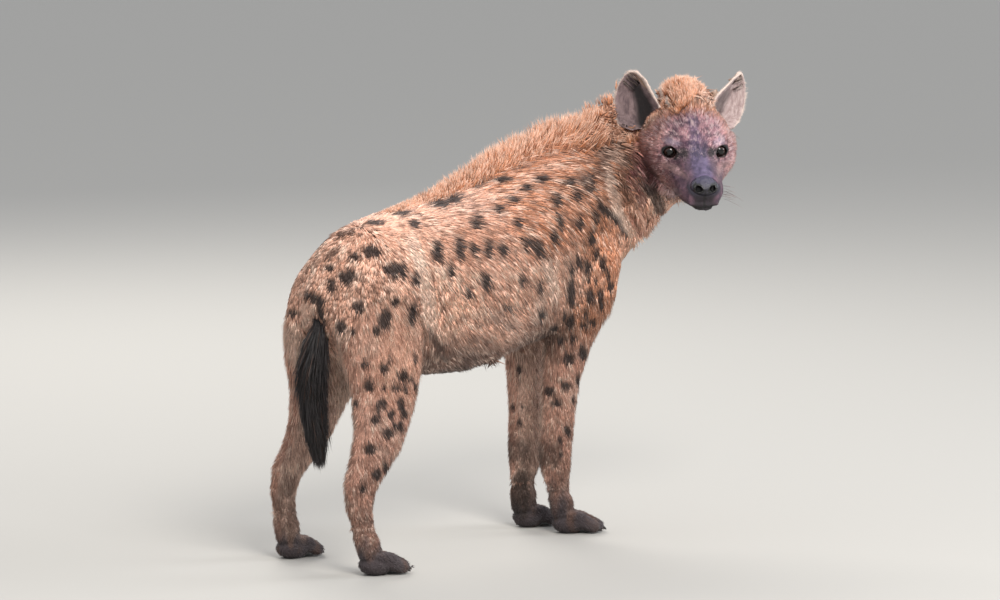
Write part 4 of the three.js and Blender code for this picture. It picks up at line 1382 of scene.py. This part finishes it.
class Skin:
    """The skin's triangles, ready for roots to be scattered on them."""

    def __init__(self):
        mesh = bpy.data.objects["skin"].data
        mesh.calc_loop_triangles()
        self.corners = rows_of(mesh.loop_triangles, "vertices", np.int32, 3)
        self.points = to_body(points_of(mesh))
        self.normals = normals_of(mesh)
        a, b, c = (self.points[self.corners[:, i]] for i in range(3))
        self.area = np.linalg.norm(np.cross(b - a, c - a), axis=1) / 2
        self.middle = (a + b + c) / 3
        self.part = part_of(self.middle)
        self.tree = BVHTree.FromPolygons(to_world(self.points).tolist(), self.corners.tolist())

    def scatter(self, chosen, count, seed, weight=None):
        """Roots on the chosen triangles, with their normals and part numbers."""
        random = np.random.default_rng(seed)
        chance = self.area[chosen] * (1 if weight is None else weight[chosen])
        pick = np.flatnonzero(chosen)[random.choice(len(chance), count, p=chance / chance.sum())]
        u, v = np.sqrt(random.random(count)), random.random(count)
        share = np.stack([1 - u, u * (1 - v), u * v], 1)[:, :, None]
        corners = self.corners[pick]
        roots = (self.points[corners] * share).sum(1)
        normals = unit((self.normals[corners] * share).sum(1))
        return roots, normals, self.part[pick]


@cache
def the_skin():
    """The finished skin, read once for all pieces of the coat."""
    return Skin()


def clump(tips, roots, size, pull, random):
    """Draws the tips of neighbouring hairs together, as the hair of a coat does."""
    cell = np.floor(roots / size + random.random((len(roots), 3)) * 0.35).astype(np.int64)
    key = cell @ np.array([73856093, 19349663, 83492791])
    _, group = np.unique(key, return_inverse=True)
    total = np.bincount(group)
    off = tips - roots
    middle = np.stack([np.bincount(group, off[:, i]) / total for i in range(3)], 1)
    centre = np.stack([np.bincount(group, roots[:, i]) / total for i in range(3)], 1)
    gathered = centre[group] + middle[group]
    return tips + (gathered - tips) * pull, group


def lock_tones(group, random):
    """Single locks pale or dark, and the hairs of a lock a little apart."""
    lock = random.random(group.max() + 1)
    level = smoothstep(0.62, 0.95, lock) - smoothstep(0.34, 0.06, lock)
    hair = random.random(len(group))
    level = level[group] * 0.8 + 0.6 * (smoothstep(0.75, 0.95, hair) - smoothstep(0.25, 0.05, hair))
    return np.clip(level * bpy.context.scene.hyena_coat.contrast, -1, 1)


def before_ears(points):
    """Whether points of the body frame lie in the open front of an ear."""
    head = to_head(points)
    hit = np.zeros(len(points), bool)
    for side in (1, -1):
        before, across, up, _ = on_ear(head, side)
        hit |= (before > -1) & (before < 62) & (np.abs(across) < 0.97) & (up > 3) & (up < EAR_TALL + 4)
    return hit


def coat_piece(name, chosen, count, wide, seed, bent=True, cell=9.0, pull=0.4, weight=None, calm=1.0):
    """A piece of the short and middling coat, on the chosen triangles of the skin."""
    random = np.random.default_rng(seed)
    count = int(count * bpy.context.scene.hyena_coat.number)
    roots, normals, part = the_skin().scatter(chosen, count, seed, weight)
    way, length, lift = lie(roots, normals, part)
    stray = random.normal(0, 0.15, (count, 3))
    way = unit(way + stray - (stray * normals).sum(1, keepdims=True) * normals)
    length = length * random.uniform(0.7, 1.25, count)
    lift = np.clip(lift * random.uniform(0.6, 1.5, count), 0.06, 0.9)
    rise = (length * lift)[:, None] * normals
    flat = (length * np.sqrt(1 - lift**2))[:, None] * way
    tips = roots + flat + rise
    tips, group = clump(tips, roots, cell, pull, random)
    middle = roots + (tips - roots) * 0.42 + rise * 0.3
    start = roots - normals * 1.5
    sides = unit(np.cross(normals, way) + random.normal(0, 0.25, (count, 3)))
    shown = roots + (tips - roots) * 0.55 + random.normal(0, 1.5, (count, 3))
    colour = markings(shown, normals, part, lock_tones(group, random) * calm)
    colour = colour * random.uniform(0.86, 1.14, (count, 1))
    # Paler tips: partly the hair's own pale tips, partly a painted highlight on the outside of the coat
    tip_colour = np.minimum(colour * 1.25 + 0.012, 1)
    on_head = part >= HEAD
    colour *= np.where(on_head, random.uniform(0.78, 1.2, count), 1)[:, None]
    wide = wide * 1000 * random.uniform(0.7, 1.3, count) * np.where(on_head, np.clip(length / 9, 0.8, 2), 1)
    crowded = (before_ears(middle) | before_ears(tips)) & (part <= HEAD)
    shrink = np.where(crowded, 0.35, 1)[:, None]
    middle = roots + (middle - roots) * shrink
    tips = roots + (tips - roots) * shrink
    steps = [start, middle, tips] if bent else [start, tips]
    # Darker roots are painted shade in the depth of the coat
    tints = [colour * 0.45, colour, tip_colour] if bent else [colour * 0.7, tip_colour]
    return dress(tuft_mesh(name, steps, [wide], sides, tints, unwrap(roots, part)), name)


def dress(mesh, name):
    """A piece of hair out of its mesh."""
    piece = link(name, mesh)
    piece.data.materials.append(material_of("hair"))
    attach(piece, "root")
    return piece


# Materials

def new_material(name):
    made = bpy.data.materials.new(name)
    made.use_nodes = True
    return made, made.node_tree.nodes, made.node_tree.links


def tinted(name, roughness, low, high, scale, bump, sheen=0.0):
    """A finish that takes its colour from the tint attribute, broken by fine noise."""
    made, nodes, links = new_material(name)
    shader = nodes["Principled BSDF"]
    shader.inputs["Roughness"].default_value = roughness
    shader.inputs["Sheen Weight"].default_value = sheen
    tint = nodes.new("ShaderNodeAttribute")
    tint.attribute_name = "tint"
    place = nodes.new("ShaderNodeTexCoord")
    noise = nodes.new("ShaderNodeTexNoise")
    noise.inputs["Scale"].default_value = scale
    noise.inputs["Detail"].default_value = 4
    links.new(place.outputs["Object"], noise.inputs["Vector"])
    level = nodes.new("ShaderNodeMapRange")
    for socket, value in (("From Min", 0.3), ("From Max", 0.7), ("To Min", low), ("To Max", high)):
        level.inputs[socket].default_value = value
    links.new(noise.outputs["Fac"], level.inputs["Value"])
    shade = nodes.new("ShaderNodeVectorMath")
    shade.operation = "SCALE"
    links.new(tint.outputs["Color"], shade.inputs[0])
    links.new(level.outputs["Result"], shade.inputs["Scale"])
    links.new(shade.outputs["Vector"], shader.inputs["Base Color"])
    if bump:
        relief = nodes.new("ShaderNodeBump")
        relief.inputs["Strength"].default_value = bump
        relief.inputs["Distance"].default_value = 0.001
        links.new(noise.outputs["Fac"], relief.inputs["Height"])
        links.new(relief.outputs["Normal"], shader.inputs["Normal"])
    return made


# Roughness, darkest and palest level, noise features in a metre, bump and sheen of each finish
FINISHES = {
    "hair": (0.6, 0.85, 1.15, 260, 0, 0.05),
    "hide": (0.8, 0.65, 1.35, 800, 0.6),
    "wet nose": (0.28, 0.75, 1.25, 1300, 0.7),
    "horn": (0.35, 0.8, 1.2, 400, 0.2),
    "eye": (0.04, 0.95, 1.05, 900, 0),
}


@cache
def material_of(name):
    """The material of a finish, made once."""
    return tinted(name, *FINISHES[name])


# Coat pieces: from and to along the body, the side and the number of tufts

BODY_COAT = [
    ("coat_rump_right", -500, -120, -1, 25000),
    ("coat_rump_left", -500, -120, 1, 20000),
    ("coat_flank_right", -120, 140, -1, 25000),
    ("coat_flank_left", -120, 140, 1, 19000),
    ("coat_shoulder_right", 140, 600, -1, 25000),
    ("coat_shoulder_left", 140, 600, 1, 19000),
]
NECK_TUFTS = 21000
LEG_TUFTS = 14000
HEAD_TUFTS = 31000
EAR_TUFTS = 9000
EAR_TUFT_WIDTH = 0.0009


class HYENA_OT_body_coat(bpy.types.Operator):
    """Cover trunk, neck and legs with tufts of hair that follow the lie of the coat"""
    bl_idname = "hyena.body_coat"
    bl_label = "Body coat"

    def execute(self, context):
        skin, sizes = the_skin(), context.scene.hyena_coat
        x, y, z = skin.middle.T
        trunk = is_part(skin.part, "trunk")
        for seed, (name, low, high, side, count) in enumerate(BODY_COAT, 101):
            on = trunk & (x >= low) & (x < high) & (y * side >= 0)
            coat_piece(name, on, count, sizes.body_width, seed)
        coat_piece("coat_neck", is_part(skin.part, "neck"), NECK_TUFTS, sizes.body_width, 120)
        weight = 1 + smoothstep(400, 150, z) * 0.9 + smoothstep(170, 110, z)
        for seed, name in enumerate(LIMBS, 130):
            on = is_part(skin.part, name)
            coat_piece(
                "coat_" + name, on, LEG_TUFTS, sizes.leg_width, seed, bent=False, pull=0.2, weight=weight
            )
        return {"FINISHED"}


class HYENA_OT_head_coat(bpy.types.Operator):
    """Cover head and ears with short fine hair"""
    bl_idname = "hyena.head_coat"
    bl_label = "Head coat"

    def execute(self, context):
        skin, sizes = the_skin(), context.scene.hyena_coat
        head = to_head(skin.middle)
        on = is_part(skin.part, "head")
        bare = in_radii(head, NOSE_AT, NOSE_BARE) < 1
        bare |= (mouth_distance(head) < 3) & (head[:, 0] > 20)
        for side in (1, -1):
            lids = from_eye(head - eye_place(side), side, (4, 3), (18, 14.5))
            bare |= (lids < 1) & (head[:, 0] > -24)
        weight = 1 + smoothstep(-80, 20, head[:, 0]) * 1.5
        coat_piece(
            "coat_head", on & ~bare, HEAD_TUFTS, sizes.head_width, 140, bent=False, cell=7, pull=0.15,
            weight=weight, calm=1.15,
        )
        ears = skin.part > HEAD
        coat_piece("coat_ears", ears, EAR_TUFTS, EAR_TUFT_WIDTH, 141, bent=False, pull=0, calm=0)
        return {"FINISHED"}


# Mane and crest: place of the tips, hair length and half width of the strip

MANE = [
    ((-190, 0, 745), 14, 20),
    ((-100, 0, 765), 20, 24),
    ((-19, 0, 788), 32, 28),
    ((61, 0, 822), 46, 32),
    ((150, -3, 862), 64, 36),
    ((243, -6, 888), 74, 40),
    ((330, -9, 914), 82, 42),
    ((421, -14, 920), 82, 42),
    ((475, -30, 908), 66, 44),
    ((515, -70, 898), 46, 44),
    ((530, -110, 890), 32, 40),
]
CREST = [
    ((-172, -3, 96), 40, 38),
    ((-134, -9, 130), 52, 38),
    ((-106, -12, 141), 60, 35),
    ((-84, -10, 130), 46, 30),
    ((-68, -6, 104), 24, 24),
]


def rows_at(where, length, stations):
    """Rows of a table of stations at some lengths along it."""
    return np.stack([np.interp(where, length, column) for column in stations.T], 1)


def mane_piece(name, line, count, seed, lean, dome):
    """Long hair that stands along a line: line has the tips' place, the hair's length and half width.

    lean is how far the hair leans along the line, and dome how much shorter it is at the sides.
    """
    random = np.random.default_rng(seed)
    stations = np.array([(*at, hair, wide) for at, hair, wide in line], float)
    length = np.append(0, np.cumsum(np.linalg.norm(np.diff(stations[:, :3], axis=0), axis=1)))
    where = random.uniform(0, length[-1], count)
    here = rows_at(where, length, stations)
    ahead = rows_at(where + 10, length, stations[:, :3])
    behind = rows_at(where - 10, length, stations[:, :3])
    along = unit(ahead - behind)
    side = unit(np.cross(np.tile([0.0, 0, 1], (count, 1)), along))
    share = random.triangular(-1, 0, 1, count) * 1.25
    high = here[:, :3] + side * (share * here[:, 4])[:, None] + [0, 0, 60]
    roots, normals = high.copy(), np.tile([0.0, 0, 1], (count, 1))
    found = np.zeros(count, bool)
    tree = the_skin().tree
    for i, start in enumerate(to_world(high)):
        place, normal, _, _ = tree.ray_cast(Vector(start), Vector((0, 0, -1)), 0.4)
        if place is not None:
            roots[i], normals[i], found[i] = to_body(np.array(place)), normal, True
    tall = here[:, 2] - roots[:, 2]
    found &= tall < here[:, 3] * 3
    hair = np.clip(tall * (1 - dome * share**2), here[:, 3] * 0.4, here[:, 3] * 1.35)
    hair = hair * random.triangular(0.42, 0.85, 1.3, count)
    wave = value_noise(np.stack([where, share * 20, where * 0], 1), 22, seed) - 0.5
    way = normals * 0.35 + [0, 0, 0.75] + side * (share * 0.5)[:, None]
    way += along * (lean + wave * 0.9 + random.normal(0, 0.14, count))[:, None]
    way = unit(way + random.normal(0, 0.13, (count, 3)))
    tips = roots + way * hair[:, None]
    tips, group = clump(tips, roots, 11.0, 0.3, random)
    bow = unit(np.cross(way, side)) * (hair * random.normal(0, 0.06, count))[:, None]
    steps = [roots - way * 3, roots + (tips - roots) * 0.3 + bow, roots + (tips - roots) * 0.68 + bow, tips]
    wide = random.uniform(1.2, 2.4, count)
    lock = lock_tones(group, random)
    gold = np.tile(tone("gold"), (count, 1)) * random.uniform(0.62, 1.18, (count, 1))
    gold = mix(gold, tone("brown", 0.8), np.clip(-lock, 0, 1) * 0.7)
    pale = mix(gold, tone("cream", 1.06), np.clip(random.uniform(0.25, 1, count) + 0.3 * lock, 0, 1))
    tints = [gold * 0.45, gold * 0.9, mix(gold, pale, np.full(count, 0.45)), pale]
    keep = np.flatnonzero(found & ~before_ears(steps[1]) & ~before_ears(steps[2]) & ~before_ears(tips))
    mesh = tuft_mesh(
        name,
        [step[keep] for step in steps],
        [(wide * k)[keep] for k in (1, 0.7)],
        unit(np.cross(way, random.normal(0, 1, (count, 3))))[keep],
        [tint[keep] for tint in tints],
        unwrap(roots[keep], part_of(roots[keep])),
    )
    return dress(mesh, name)


class HYENA_OT_mane(bpy.types.Operator):
    """Stand the mane along back and neck, and the crest on the head"""
    bl_idname = "hyena.mane"
    bl_label = "Mane and crest"

    def execute(self, context):
        mane_piece("mane", MANE, 8000, 160, 0.15, 0.3)
        crest = [(tuple(from_head(at)), hair, wide) for at, hair, wide in CREST]
        mane_piece("crest", crest, 3200, 161, 0.1, 0.42)
        return {"FINISHED"}


# Tail: the dock, then the envelope of its brush, as places with a radius, all in mm

DOCK = [
    (-362, 0, 585, 20),
    (-392, 0, 558, 12),
    (-390, 0, 520, 9),
    (-404, -1, 480, 8),
    (-424, -4, 410, 7),
    (-420, -5, 340, 5),
    (-410, -5, 290, 3),
]
BRUSH_LINE = [
    (-384, 0, 575, 14),
    (-392, 0, 545, 11),
    (-389, 0, 520, 10),
    (-398, -1, 492, 16),
    (-414, -3, 460, 33),
    (-427, -4, 410, 40),
    (-425, -5, 365, 40),
    (-414, -5, 325, 31),
    (-406, -5, 290, 29),
    (-399, -4, 250, 21),
    (-395, -3, 214, 7),
]


def curve_places(stations, shares):
    """Places along a smooth line through some stations."""
    stations = np.array(stations, float)
    at = np.clip(shares, 0, 1) * (len(stations) - 1)
    i = np.clip(at.astype(int), 0, len(stations) - 2)
    t = (at - i)[:, None]
    p = [stations[np.clip(i + k, 0, len(stations) - 1)] for k in (-1, 0, 1, 2)]
    return 0.5 * (
        2 * p[1] + (p[2] - p[0]) * t + (2 * p[0] - 5 * p[1] + 4 * p[2] - p[3]) * t**2
        + (3 * p[1] - 3 * p[2] + p[3] - p[0]) * t**3
    )


class HYENA_OT_tail(bpy.types.Operator):
    """Hang the tail with its brush of long black hair"""
    bl_idname = "hyena.tail"
    bl_label = "Tail"

    def execute(self, context):
        rings, sides = 40, 14
        shares = np.linspace(0, 1, rings)
        line = curve_places(DOCK, shares)
        along = unit(np.gradient(line[:, :3], axis=0))
        east = unit(np.cross(along, [1.0, 0, 0]))
        north = np.cross(along, east)
        angle = np.arange(sides) * 2 * math.pi / sides
        ring = east[:, None] * np.cos(angle)[None, :, None] + north[:, None] * np.sin(angle)[None, :, None]
        points = (line[:, None, :3] + ring * line[:, None, 3:]).reshape(-1, 3)
        tint = mix(np.tile(tone("sand", 0.5), (rings, 1)), tone("brush"), smoothstep(0.05, 0.2, shares))
        mesh = mesh_of("tail_dock", to_world(points), tube_faces(rings, sides), tint.repeat(sides, 0))
        dock = link("tail_dock", mesh)
        dock.data.materials.append(material_of("hide"))
        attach(dock, "root")
        self.hang_brush()
        return {"FINISHED"}

    def hang_brush(self):
        random = np.random.default_rng(170)
        count = 4600
        share = random.random(count) ** 0.85 * 0.74
        reach = (0.1 + 0.2 * smoothstep(0.05, 0.3, share)) * random.uniform(0.7, 1.15, count)
        here = curve_places(BRUSH_LINE, share)
        there = curve_places(BRUSH_LINE, np.minimum(share + reach, 1))
        turn = random.uniform(0, 2 * math.pi, count)
        out = np.stack([np.cos(turn), np.sin(turn), np.zeros(count)], 1)
        apart = np.sqrt(random.random(count))[:, None]
        roots = here[:, :3] + out * np.minimum(here[:, 3:] * 0.5, 7)
        tips = there[:, :3] + out * there[:, 3:] * (0.25 + 0.75 * apart)
        tips, group = clump(tips + random.normal(0, 6, (count, 3)), roots, 12.0, 0.3, random)
        bulge = out * (np.maximum(here[:, 3], there[:, 3]) * 0.22)[:, None] * apart
        one = roots + (tips - roots) * 0.33 + bulge
        two = roots + (tips - roots) * 0.7 + bulge * 0.8
        lock = random.random(group.max() + 1)[group]
        dark = np.tile(tone("brush"), (count, 1)) * (0.6 + 0.9 * lock)[:, None]
        dark = mix(dark, tone("brown", 0.55), (random.random(count) > 0.93) * 0.8)
        below = smoothstep(-0.02, 0.08, share + lock * 0.04)
        dark = mix(tone("sand", 0.8), dark, below)
        wide = random.uniform(1.3, 2.6, count)
        mesh = tuft_mesh(
            "tail_brush",
            [roots, one, two, tips],
            [wide, wide * 0.75],
            unit(np.cross(out, tips - roots)),
            [dark * 0.6, dark * 0.9, dark, dark * 1.5],
            unwrap(roots, np.full(count, PARTS.index("tail"))),
        )
        brush = dress(mesh, "tail_brush")
        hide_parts("tail")


class HYENA_OT_eyes(bpy.types.Operator):
    """Set the dark brown eyes in their lids"""
    bl_idname = "hyena.eyes"
    bl_label = "Eyes"

    def execute(self, context):
        for side, name in ((1, "eye_left"), (-1, "eye_right")):
            deselect()
            centre = to_world(from_head(eye_place(side)))
            bpy.ops.mesh.primitive_uv_sphere_add(
                segments=48, ring_count=32, radius=EYE_RADIUS / 1000, location=centre
            )
            ball = context.object
            bpy.ops.object.transform_apply(location=True)
            ball.name = name + "_ball"
            bpy.ops.object.shade_smooth()
            points = to_head(to_body(points_of(ball.data)))
            gaze = unit(np.array([1.0, side * 0.1 - 0.12, -0.02]))
            off = unit(points - eye_place(side))
            turn = np.degrees(np.arccos(np.clip(off @ gaze, -1, 1)))
            tint = np.tile(bare_and_shade_tone("eye edge"), (len(points), 1))
            tint = mix(tint, bare_and_shade_tone("iris"), smoothstep(56, 50, turn))
            tint = mix(tint, bare_and_shade_tone("pupil"), smoothstep(40, 34, turn))
            tint_mesh(ball.data, tint)
            ball.data.materials.append(material_of("eye"))
            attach(ball, "root")
            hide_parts(name)
        return {"FINISHED"}


# Nose: balls round the nostrils, painted near-black as painted shade of their openings, as place and
# radius, head frame, left side

NOSTRILS = [
    ((132, 13, -42), 8.5),
    ((120, 16, -40), 8.5),
    ((124, 17, -38), 4.5),
    ((119, 26, -32), 3.5),
    ((112, 31, -25), 2.5),
]


class HYENA_OT_nose(bpy.types.Operator):
    """Model the nose pad with its nostrils"""
    bl_idname = "hyena.nose"
    bl_label = "Nose"

    def execute(self, context):
        pad = flesh("nose_pad", ["nose"], NOSE_GROW, NOSE_GRAIN)
        points = to_body(points_of(pad.data))
        points = relax(points, edges_of(pad.data), np.full(len(points), 0.4), 8)
        head = to_head(points)
        mirrored = np.stack([head[:, 0], np.abs(head[:, 1]), head[:, 2]], 1)
        inside = np.full(len(head), np.inf)
        for at, radius in NOSTRILS:
            inside = np.minimum(inside, np.linalg.norm(mirrored - at, axis=1) / radius)
        top = smoothstep(-42, -19, head[:, 2])
        pores = smoothstep(0.2, 0.8, value_noise(head, 2.2, 41))
        # The top of the pad is painted paler: a painted highlight on the wet nose
        tint = mix(bare_and_shade_tone("nose pad"), bare_and_shade_tone("nose top highlight"), pores * 0.3 + 0.7 * top)
        # The nostrils are painted near-black: painted shade of their openings
        tint = mix(tint, bare_and_shade_tone("nostril"), smoothstep(1.5, 1.15, inside))
        # The crease down the middle below the pad is painted near-black: painted shade in the groove
        crease = smoothstep(2.2, 1.0, np.abs(head[:, 1])) * smoothstep(-40, -50, head[:, 2])
        tint = mix(tint, bare_and_shade_tone("nose crease shade"), crease)
        head[:, 1] *= 1 - 0.24 * top
        head[:, 0] -= 7 * top
        move_to(pad.data, to_world(from_head(head)))
        tint_mesh(pad.data, tint)
        pad.data.materials.append(material_of("wet nose"))
        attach(pad, "root")
        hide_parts("nose")
        return {"FINISHED"}


# Whiskers: middle and half size of the pad, head frame, and colours from root to tip

WHISKER_PAD = ((84, 40, -62), (20, 8, 12))
WHISKER_SHADES = [(50, 40, 40), (96, 78, 80), (140, 120, 116), (196, 182, 174)]
WHISKERS_A_SIDE = 16


class HYENA_OT_whiskers(bpy.types.Operator):
    """Grow the whiskers from the pads beside the nose"""
    bl_idname = "hyena.whiskers"
    bl_label = "Whiskers"

    def execute(self, context):
        random = np.random.default_rng(180)
        pad, room = np.array(WHISKER_PAD, float)
        places = (0, 0.35, 0.7, 1)
        steps = [[] for _ in places]
        for side in (1, -1):
            for _ in range(WHISKERS_A_SIDE):
                root = (pad + random.uniform(-1, 1, 3) * room) * [1, side, 1]
                way = unit(np.array([random.uniform(-0.5, 0.35), side, random.uniform(-0.45, 0.15)]))
                long = random.uniform(32, 62)
                hang = np.array([-0.18, 0, -0.22]) * long
                for step, t in zip(steps, places):
                    step.append(root + way * long * t + hang * t * t)
        steps = [from_head(np.array(step)) for step in steps]
        count = len(steps[0])
        tints = [np.tile(srgb(*shade), (count, 1)) for shade in WHISKER_SHADES]
        wide = np.full(count, 0.6)
        uv = unwrap(steps[0], np.full(count, PARTS.index("head")))
        up = np.tile([0.0, 0, 1], (count, 1))
        dress(tuft_mesh("whiskers", steps, [wide, wide * 0.7], up, tints, uv), "whiskers")
        return {"FINISHED"}


class HYENA_OT_claws(bpy.types.Operator):
    """Put a blunt curved claw on each toe"""
    bl_idname = "hyena.claws"
    bl_label = "Claws"

    def execute(self, context):
        rings, sides = 9, 10
        t = np.linspace(0, 1, rings)
        angle = np.arange(sides) * 2 * math.pi / sides
        made = []
        for _, (x, y), turn in PAWS.values():
            spin = turned(2, turn)
            for out, reach in TOES:
                line = np.stack([reach - 2 + 21 * t, np.full(rings, out * 1.15), 14.5 - 9 * t**1.7], 1)
                radius = 4.4 * (1 - t**2) ** 0.5 + 0.25
                ring = np.cos(angle)[:, None] * [0, 0.8, 0] + np.sin(angle)[:, None] * [0.3, 0, 1]
                points = line[:, None] + ring[None] * radius[:, None, None]
                made.append(points.reshape(-1, 3) @ spin.T + [x, y, 0])
        faces = tube_faces(rings, sides)[None] + (np.arange(len(made)) * rings * sides)[:, None, None]
        points = np.concatenate(made)
        tints = np.tile(bare_and_shade_tone("claw"), (len(points), 1))
        claws = link("claws", mesh_of("claws", to_world(points), faces.reshape(-1, 3)[:, ::-1], tints))
        claws.data.materials.append(material_of("horn"))
        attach(claws, "root")
        return {"FINISHED"}


# Stage: floor and sky, then the lights with name, place, size and colour, in metres

FLOOR_SIZE = 40
FLOOR_COLOUR = (0.42, 0.41, 0.39, 1)
SKY_COLOUR = (0.95, 0.97, 1, 1)
AIM = (0, 0, 0.5)
LIGHTS = [
    ("key", (-2.5, -4.5, 4.5), 2.4, (1, 0.95, 0.88)),
    ("fill", (4.0, -3.0, 2.5), 3.0, (0.95, 0.97, 1)),
    ("rim", (2.0, 4.0, 4.0), 3.0, (1, 0.96, 0.9)),
    ("catch", (-0.95, -3.1, 2.3), 0.7, (1, 1, 1)),
]


def lay_floor():
    deselect()
    bpy.ops.mesh.primitive_plane_add(size=FLOOR_SIZE, location=(0, 0, 0))
    floor = bpy.context.object
    floor.name = "floor"
    made, nodes, _ = new_material("pale floor")
    nodes["Principled BSDF"].inputs["Base Color"].default_value = FLOOR_COLOUR
    nodes["Principled BSDF"].inputs["Roughness"].default_value = 0.9
    floor.data.materials.append(made)


def hang_lights(scene, sizes):
    world = bpy.data.worlds.new("studio")
    scene.world = world
    world.use_nodes = True
    sky = world.node_tree.nodes["Background"]
    sky.inputs["Color"].default_value = SKY_COLOUR
    sky.inputs["Strength"].default_value = sizes.sky
    for name, place, size, colour in LIGHTS:
        lamp = bpy.data.lights.new(name, "AREA")
        lamp.shape = "DISK"
        lamp.size = size
        lamp.energy = getattr(sizes, name)
        lamp.color = colour
        spot = bpy.data.objects.new(name, lamp)
        spot.location = place
        spot.rotation_euler = (Vector(AIM) - Vector(place)).to_track_quat("-Z", "Y").to_euler()
        scene.collection.objects.link(spot)


def set_camera(scene, lens):
    camera = bpy.data.cameras.new("camera")
    camera.sensor_width = SENSOR
    camera.lens = lens
    camera.clip_end = 100
    seat = bpy.data.objects.new("camera", camera)
    scene.collection.objects.link(seat)
    seat.location = to_world(EYEPOINT)
    seat.rotation_euler = Vector(-BACK).to_track_quat("-Z", "Y").to_euler()
    scene.camera = seat


class HYENA_OT_stage(bpy.types.Operator):
    """Lay a pale floor, hang soft lights and set the camera"""
    bl_idname = "hyena.stage"
    bl_label = "Stage"

    def execute(self, context):
        sizes = context.scene.hyena_stage
        lay_floor()
        hang_lights(context.scene, sizes)
        set_camera(context.scene, sizes.lens)
        context.scene.view_settings.view_transform = "Standard"
        return {"FINISHED"}


STEPS = ["skin", "eyes", "nose", "whiskers", "claws", "tail", "body_coat", "head_coat", "mane", "stage"]
GROUPS = {
    "hyena_skin": HyenaSkinSizes,
    "hyena_coat": HyenaCoatSizes,
    "hyena_colours": HyenaColours,
    "hyena_stage": HyenaStageSizes,
}
CLASSES = [
    HYENA_OT_skin, HYENA_OT_eyes, HYENA_OT_nose, HYENA_OT_whiskers, HYENA_OT_claws, HYENA_OT_tail,
    HYENA_OT_body_coat, HYENA_OT_head_coat, HYENA_OT_mane, HYENA_OT_stage,
]


class HYENA_PT_panel(bpy.types.Panel):
    """The steps that make the hyena"""
    bl_label = "Spotted hyena"
    bl_idname = "HYENA_PT_panel"
    bl_space_type = "VIEW_3D"
    bl_region_type = "UI"
    bl_category = "Hyena"

    def draw(self, context):
        for step in STEPS:
            self.layout.operator("hyena." + step)
        for name, group in GROUPS.items():
            box = self.layout.box()
            box.label(text=group.__doc__)
            for key in group.__annotations__:
                box.prop(getattr(context.scene, name), key)


def register():
    for one in [*GROUPS.values(), *CLASSES, HYENA_PT_panel]:
        bpy.utils.register_class(one)
    for name, group in GROUPS.items():
        setattr(bpy.types.Scene, name, PointerProperty(type=group))


def unregister():
    for name in GROUPS:
        delattr(bpy.types.Scene, name)
    for one in reversed([*GROUPS.values(), *CLASSES, HYENA_PT_panel]):
        bpy.utils.unregister_class(one)


def main():
    register()
    for step in STEPS:
        getattr(bpy.ops.hyena, step)()


if __name__ == "__main__":
    main()
